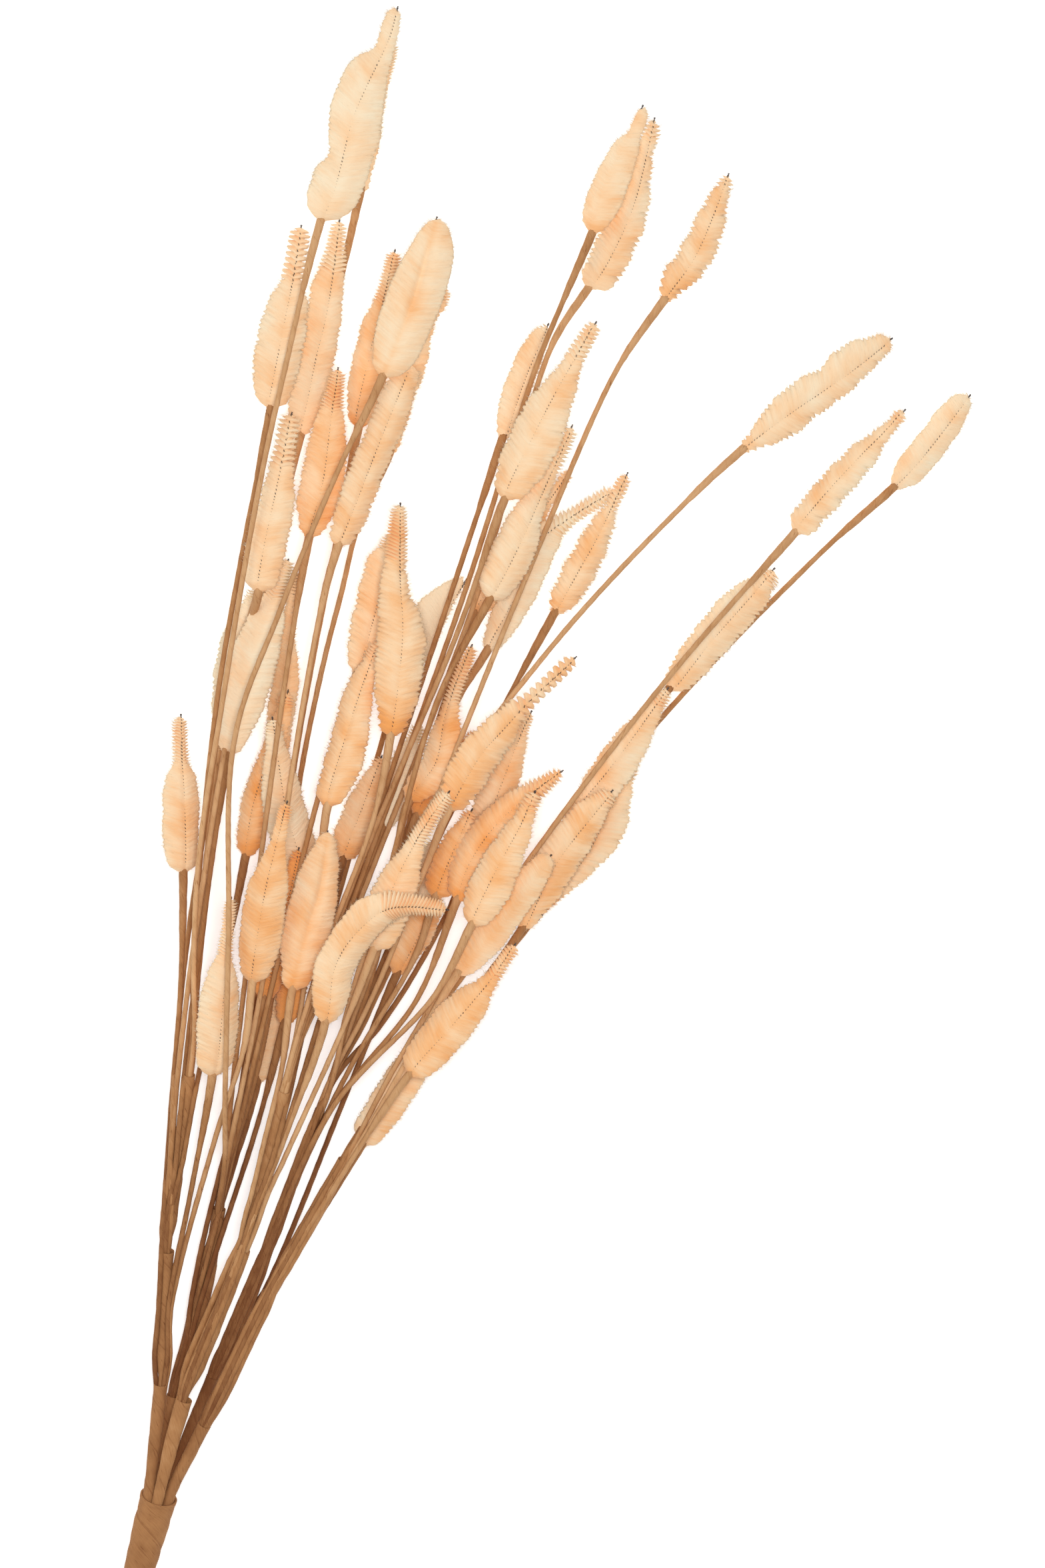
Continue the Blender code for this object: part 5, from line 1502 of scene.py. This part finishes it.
def linear(hex_colour):
    """A colour from its sRGB hex value, as Blender's linear numbers."""
    shares = [int(hex_colour[i:i + 2], 16) / 255 for i in (1, 3, 5)]
    return (*(share / 12.92 if share <= 0.04045 else ((share + 0.055) / 1.055) ** 2.4
              for share in shares), 1)


def fill_inputs(node, inputs):
    """Set a node's inputs to values, or link them to other nodes' outputs."""
    for name, value in inputs.items():
        if isinstance(value, bpy.types.NodeSocket):
            node.id_data.links.new(value, node.inputs[name])
        else:
            node.inputs[name].default_value = value


def add_node(tree, kind, inputs=None, **settings):
    """Add a shader node with its settings, and its inputs as values or links."""
    made = tree.nodes.new("ShaderNode" + kind)
    for name, value in settings.items():
        setattr(made, name, value)
    fill_inputs(made, inputs or {})
    return made


def fill_ramp(ramp, stops):
    """Set a colour ramp's stops from places and colours."""
    elements = ramp.color_ramp.elements
    while len(elements) > 1:
        elements.remove(elements[-1])
    elements[0].position, elements[0].color = stops[0]
    for place, colour in stops[1:]:
        elements.new(place).color = colour


def new_material(name):
    """An empty material with its tree and shader."""
    made = bpy.data.materials.new(name)
    made.use_nodes = True
    return made, made.node_tree, made.node_tree.nodes["Principled BSDF"]


def pile_material():
    """Polyester chenille pile, sheared and heat-set: matt and soft, with fine
    lines across it where the fibres lie side by side."""
    made, tree, shader = new_material("chenille_pile")
    settings = bpy.context.scene.spray_pile
    pattern, tone = (add_node(tree, "Attribute", attribute_name=name)
                     for name in ("pattern", "tone"))
    # Fibres lie across the head, 0.7 mm apart so that they show
    lines = add_node(tree, "Mapping", {
        "Vector": pattern.outputs["Vector"], "Scale": (130, 130, 1400)})
    fibres = add_node(tree, "TexNoise", {
        "Vector": lines.outputs["Vector"], "Scale": 1.0, "Detail": 3.0, "Roughness": 0.6})
    # Tufts 2 mm wide, and patches of about 1 cm
    wide = add_node(tree, "Mapping", {
        "Vector": pattern.outputs["Vector"], "Scale": (170, 170, 480)})
    tufts = add_node(tree, "TexNoise", {
        "Vector": wide.outputs["Vector"], "Scale": 1.0, "Detail": 2.0})
    clouds = add_node(tree, "TexNoise", {
        "Vector": pattern.outputs["Vector"], "Scale": 75.0, "Detail": 1.0})
    total = tone.outputs["Fac"]
    for noise, share in ((fibres, 0.32), (tufts, 0.22), (clouds, 0.8)):
        total = add_node(tree, "Math", {
            0: noise.outputs["Fac"], 1: share, 2: total}, operation="MULTIPLY_ADD").outputs[0]
    shifted = add_node(tree, "Math", {0: total, 1: 0.64}, operation="SUBTRACT")
    ramp = add_node(tree, "ValToRGB", {"Fac": shifted.outputs[0]})
    fill_ramp(ramp, [(0.0, settings.pale), (0.4, settings.peach), (0.7, settings.apricot),
                     (1.0, settings.orange)])
    relief = add_node(tree, "Math", {
        0: tufts.outputs["Fac"], 1: 1.2, 2: fibres.outputs["Fac"]}, operation="MULTIPLY_ADD")
    bump = add_node(tree, "Bump", {
        "Height": relief.outputs[0], "Strength": 0.6, "Distance": 0.0006})
    fill_inputs(shader, {
        "Base Color": ramp.outputs["Color"], "Normal": bump.outputs["Normal"],
        "Roughness": 0.95, "Sheen Weight": 0.6, "Sheen Tint": settings.pale,
        "Sheen Roughness": 0.6, "Specular IOR Level": 0.15})
    return made


def tape_material():
    """Kraft-brown florist's crepe paper tape, wound tight: matt, with slanting
    wrinkles and paler fibres."""
    made, tree, shader = new_material("crepe_paper_tape")
    settings = bpy.context.scene.spray_tape
    pattern, tone, wind = (add_node(tree, "Attribute", attribute_name=name)
                           for name in ("pattern", "tone", "wind"))
    split = add_node(tree, "SeparateXYZ", {"Vector": pattern.outputs["Vector"]})
    # The pattern turns along the piece, as the tape is wound
    turn = add_node(tree, "Math", {0: split.outputs["Z"], 1: 180.0}, operation="MULTIPLY")
    wound = add_node(tree, "VectorRotate", {
        "Vector": pattern.outputs["Vector"], "Angle": turn.outputs[0]}, rotation_type="Z_AXIS")
    # Wrinkles under 1 mm apart, drawn out along the wound tape
    lines = add_node(tree, "Mapping", {
        "Vector": wound.outputs["Vector"], "Scale": (1100, 1100, 160)})
    wrinkles = add_node(tree, "TexNoise", {
        "Vector": lines.outputs["Vector"], "Scale": 1.0, "Detail": 4.0, "Roughness": 0.65})
    # Creases a few millimetres long, where the noise runs lowest, darkened as painted shade in their
    # folds
    long_lines = add_node(tree, "Mapping", {
        "Vector": wound.outputs["Vector"], "Scale": (1500, 1500, 190)})
    folds = add_node(tree, "TexNoise", {
        "Vector": long_lines.outputs["Vector"], "Scale": 1.0, "Detail": 1.0})
    tape_crease_shade = add_node(tree, "MapRange", {
        0: folds.outputs["Fac"], 1: 0.24, 2: 0.32, 3: 0.4, 4: 0.0})
    blotches = add_node(tree, "TexNoise", {
        "Vector": pattern.outputs["Vector"], "Scale": 160.0, "Detail": 3.0})
    # The spiral seam's edge, a thin dark line once round for each pitch
    angle = add_node(tree, "Math", {
        0: split.outputs["Y"], 1: split.outputs["X"]}, operation="ARCTAN2")
    turns = add_node(tree, "Math", {
        0: angle.outputs[0], 1: 0.5 / pi, 2: wind.outputs["Fac"]}, operation="MULTIPLY_ADD")
    once = add_node(tree, "Math", {0: turns.outputs[0]}, operation="FRACT")
    edge = add_node(tree, "MapRange", {
        0: once.outputs[0], 1: 0.0, 2: 0.06, 3: 0.2, 4: 0.0})
    total = tone.outputs["Fac"]
    for noise, share in ((wrinkles, 0.4), (blotches, 0.3)):
        total = add_node(tree, "Math", {
            0: noise.outputs["Fac"], 1: share, 2: total}, operation="MULTIPLY_ADD").outputs[0]
    # The seam's dark edge and the painted shade in the creases darken the tape
    seam_line_and_crease_shade = add_node(tree, "Math", {
        0: edge.outputs[0], 1: tape_crease_shade.outputs[0]}, operation="ADD")
    for less in (seam_line_and_crease_shade.outputs[0], 0.35):
        total = add_node(tree, "Math", {0: total, 1: less}, operation="SUBTRACT").outputs[0]
    ramp = add_node(tree, "ValToRGB", {"Fac": total})
    fill_ramp(ramp, [(0.0, settings.shaded), (0.5, settings.kraft), (1.0, settings.light)])
    bump = add_node(tree, "Bump", {
        "Height": wrinkles.outputs["Fac"], "Strength": 0.6, "Distance": 0.0003})
    fill_inputs(shader, {
        "Base Color": ramp.outputs["Color"], "Normal": bump.outputs["Normal"],
        "Roughness": 0.85, "Specular IOR Level": 0.25})
    return made


def wire_material():
    """Dark annealed steel binding wire, drawn and twisted: dull, with a faint
    unevenness along it."""
    made, tree, shader = new_material("annealed_wire")
    settings = bpy.context.scene.spray_wire
    pattern = add_node(tree, "Attribute", attribute_name="pattern")
    scale = add_node(tree, "TexNoise", {
        "Vector": pattern.outputs["Vector"], "Scale": 1500.0, "Detail": 2.0})
    ramp = add_node(tree, "ValToRGB", {"Fac": scale.outputs["Fac"]})
    fill_ramp(ramp, [(0.3, settings.dark), (0.7, settings.worn)])
    fill_inputs(shader, {"Base Color": ramp.outputs["Color"], "Roughness": 0.5, "Metallic": 1.0})
    return made


def floor_material():
    """White matt acrylic of a light table, lit from below so that it shows no
    shadows, with a barely seen grain."""
    made, tree, shader = new_material("light_table")
    place = add_node(tree, "TexCoord")
    grain = add_node(tree, "TexNoise", {
        "Vector": place.outputs["Object"], "Scale": 400.0})
    ramp = add_node(tree, "ValToRGB", {"Fac": grain.outputs["Fac"]})
    fill_ramp(ramp, [(0.0, linear("#F7F7F6")), (1.0, linear("#FBFBFA"))])
    fill_inputs(shader, {
        "Base Color": ramp.outputs["Color"], "Roughness": 0.9,
        "Emission Color": linear("#FFFFFF"), "Emission Strength": 0.42})
    return made


def colour_setting(name, description, default):
    """A colour that a user may change, first given as an sRGB hex value."""
    return bpy.props.FloatVectorProperty(name=name, description=description, subtype="COLOR",
                                         size=4, min=0, max=1, default=linear(default))


def length_setting(name, description, default):
    """A length that a user may change, in metres."""
    return bpy.props.FloatProperty(name=name, description=description, default=default,
                                   min=0, precision=5, unit="LENGTH")


class PileSettings(bpy.types.PropertyGroup):
    """Colours and fibres of the chenille pile."""

    pale: colour_setting("Pale", "Cream of the palest pile", "#F8E5C5")
    peach: colour_setting("Peach", "Peach of most of the pile", "#F9D3A8")
    apricot: colour_setting("Apricot", "Apricot of the warmer heads", "#F6BC84")
    orange: colour_setting("Orange", "Orange of the deepest patches", "#F0A25A")
    fibre: length_setting("Fibre", "Radius of a loose fibre at its root", 0.00014)


class TapeSettings(bpy.types.PropertyGroup):
    """Colours and winding of the crepe paper tape."""

    # The dark end is the brown of painted shade, in folds and between crowded stems, and the light end
    # serves both the tape's paler fibres and the painted light on free stems
    shaded: colour_setting("Shaded", "Brown in the folds", "#7A4A28")
    kraft: colour_setting("Kraft", "Brown of the tape", "#B17E50")
    light: colour_setting("Light", "Brown of worn fibres", "#DBAF80")
    seam: length_setting("Seam", "Pitch of the spiral seam on a stem", 0.009)


class WireSettings(bpy.types.PropertyGroup):
    """Colours and twist of the wire in the heads."""

    dark: colour_setting("Dark", "Dark steel", "#46403D")
    worn: colour_setting("Worn", "Paler worn steel", "#7A726E")
    strand: length_setting("Strand", "Radius of one strand", 0.00024)
    twist: length_setting("Twist", "Length of one turn of the strands", 0.0034)


def add_floor(scene):
    """Make the table that the spray lies on."""
    bm = bmesh.new()
    bmesh.ops.create_grid(bm, x_segments=1, y_segments=1, size=FLOOR_REACH)
    mesh = bpy.data.meshes.new("floor")
    bm.to_mesh(mesh)
    bm.free()
    mesh.materials.append(floor_material())
    floor = bpy.data.objects.new("floor", mesh)
    floor.location.z = -FLOOR_DROP
    scene.collection.objects.link(floor)


class SPRAY_OT_wrap(bpy.types.Operator):
    """Make the tape wrap round the branch butts"""

    bl_idname = "spray.wrap"
    bl_label = "Wrap"

    def execute(self, context):
        lay_out()
        add_wrap(tape_material())
        return {"FINISHED"}


class SPRAY_OT_branches(bpy.types.Operator):
    """Make the five branches, with their sheaths and stems"""

    bl_idname = "spray.branches"
    bl_label = "Branches"

    def execute(self, context):
        lay_out()
        made = tape_material()
        for name in BRANCHES:
            add_branch(name, made)
        return {"FINISHED"}


class SPRAY_OT_heads(bpy.types.Operator):
    """Make the pile of all heads, pressed pairs as one piece"""

    bl_idname = "spray.heads"
    bl_label = "Heads"

    def execute(self, context):
        lay_out()
        made = pile_material()
        rng = np.random.default_rng(7)
        for name in HEADS:
            if name in PRESSED:
                continue
            heap = Heap()
            # Its own pile first, then that of a head pressed against it
            for own in [name] + [other for other in PRESSED if PRESSED[other] == name]:
                pile = Pile(list(HEADS).index(own))
                add_body(heap, pile, rng)
                add_fibres(heap, pile, rng)
            heap.piece("pile_" + name, made, ["head_" + name])
        return {"FINISHED"}


class SPRAY_OT_wires(bpy.types.Operator):
    """Make the twisted wires of the heads, branch by branch"""

    bl_idname = "spray.wires"
    bl_label = "Wires"

    def execute(self, context):
        lay_out()
        made = wire_material()
        for name in BRANCHES:
            heap = Heap()
            for number, stalk in enumerate(Sprays.stalks):
                if stalk.head.branch == name:
                    add_wire(heap, Pile(number))
            heap.piece("wires_" + name, made)
        return {"FINISHED"}


class SPRAY_OT_stage(bpy.types.Operator):
    """Make the floor, the lights and the camera that looks down"""

    bl_idname = "spray.stage"
    bl_label = "Stage"

    def execute(self, context):
        lay_out()
        add_floor(context.scene)
        world = bpy.data.worlds.new("studio")
        world.use_nodes = True
        fill_inputs(world.node_tree.nodes["Background"], {
            "Color": linear("#FFFFFF"), "Strength": WORLD_LIGHT})
        context.scene.world = world
        context.scene.view_settings.view_transform = "Standard"
        for name, place, size, power in LAMPS:
            light = bpy.data.lights.new(name, "AREA")
            light.size = size
            light.energy = power
            lamp = bpy.data.objects.new(name, light)
            lamp.location = Vector(place) + Vector(Sprays.shift)
            lamp.rotation_euler = (-Vector(place)).to_track_quat("-Z", "Y").to_euler()
            context.scene.collection.objects.link(lamp)
        camera = bpy.data.cameras.new("camera")
        camera.sensor_fit = "VERTICAL"
        camera.sensor_height = SENSOR
        camera.lens = SENSOR * (CAMERA_HEIGHT - MIDDLE_HEIGHT) / (PHOTO_HEIGHT * PIXEL)
        camera.clip_end = 4 * CAMERA_HEIGHT
        eye = bpy.data.objects.new("camera", camera)
        eye.location = (Sprays.shift[0], Sprays.shift[1], CAMERA_HEIGHT)
        context.scene.collection.objects.link(eye)
        context.scene.camera = eye
        return {"FINISHED"}


class SPRAY_PT_panel(bpy.types.Panel):
    """The spray's settings and steps"""

    bl_idname = "SPRAY_PT_panel"
    bl_label = "Bunny tail spray"
    bl_space_type = "VIEW_3D"
    bl_region_type = "UI"
    bl_category = "Spray"

    def draw(self, context):
        for group in SETTINGS:
            for name in SETTINGS[group].__annotations__:
                self.layout.prop(getattr(context.scene, group), name)
        for step in STEPS:
            self.layout.operator(step.bl_idname)


SETTINGS = {"spray_pile": PileSettings, "spray_tape": TapeSettings, "spray_wire": WireSettings}
STEPS = (SPRAY_OT_wrap, SPRAY_OT_branches, SPRAY_OT_heads, SPRAY_OT_wires, SPRAY_OT_stage)
CLASSES = (*SETTINGS.values(), *STEPS, SPRAY_PT_panel)


def register():
    for kind in CLASSES:
        bpy.utils.register_class(kind)
    for name, kind in SETTINGS.items():
        setattr(bpy.types.Scene, name, bpy.props.PointerProperty(type=kind))


def unregister():
    for name in SETTINGS:
        delattr(bpy.types.Scene, name)
    for kind in reversed(CLASSES):
        bpy.utils.unregister_class(kind)


def main():
    register()
    bpy.ops.spray.wrap()
    bpy.ops.spray.branches()
    bpy.ops.spray.heads()
    bpy.ops.spray.wires()
    bpy.ops.spray.stage()


if __name__ == "__main__":
    main()
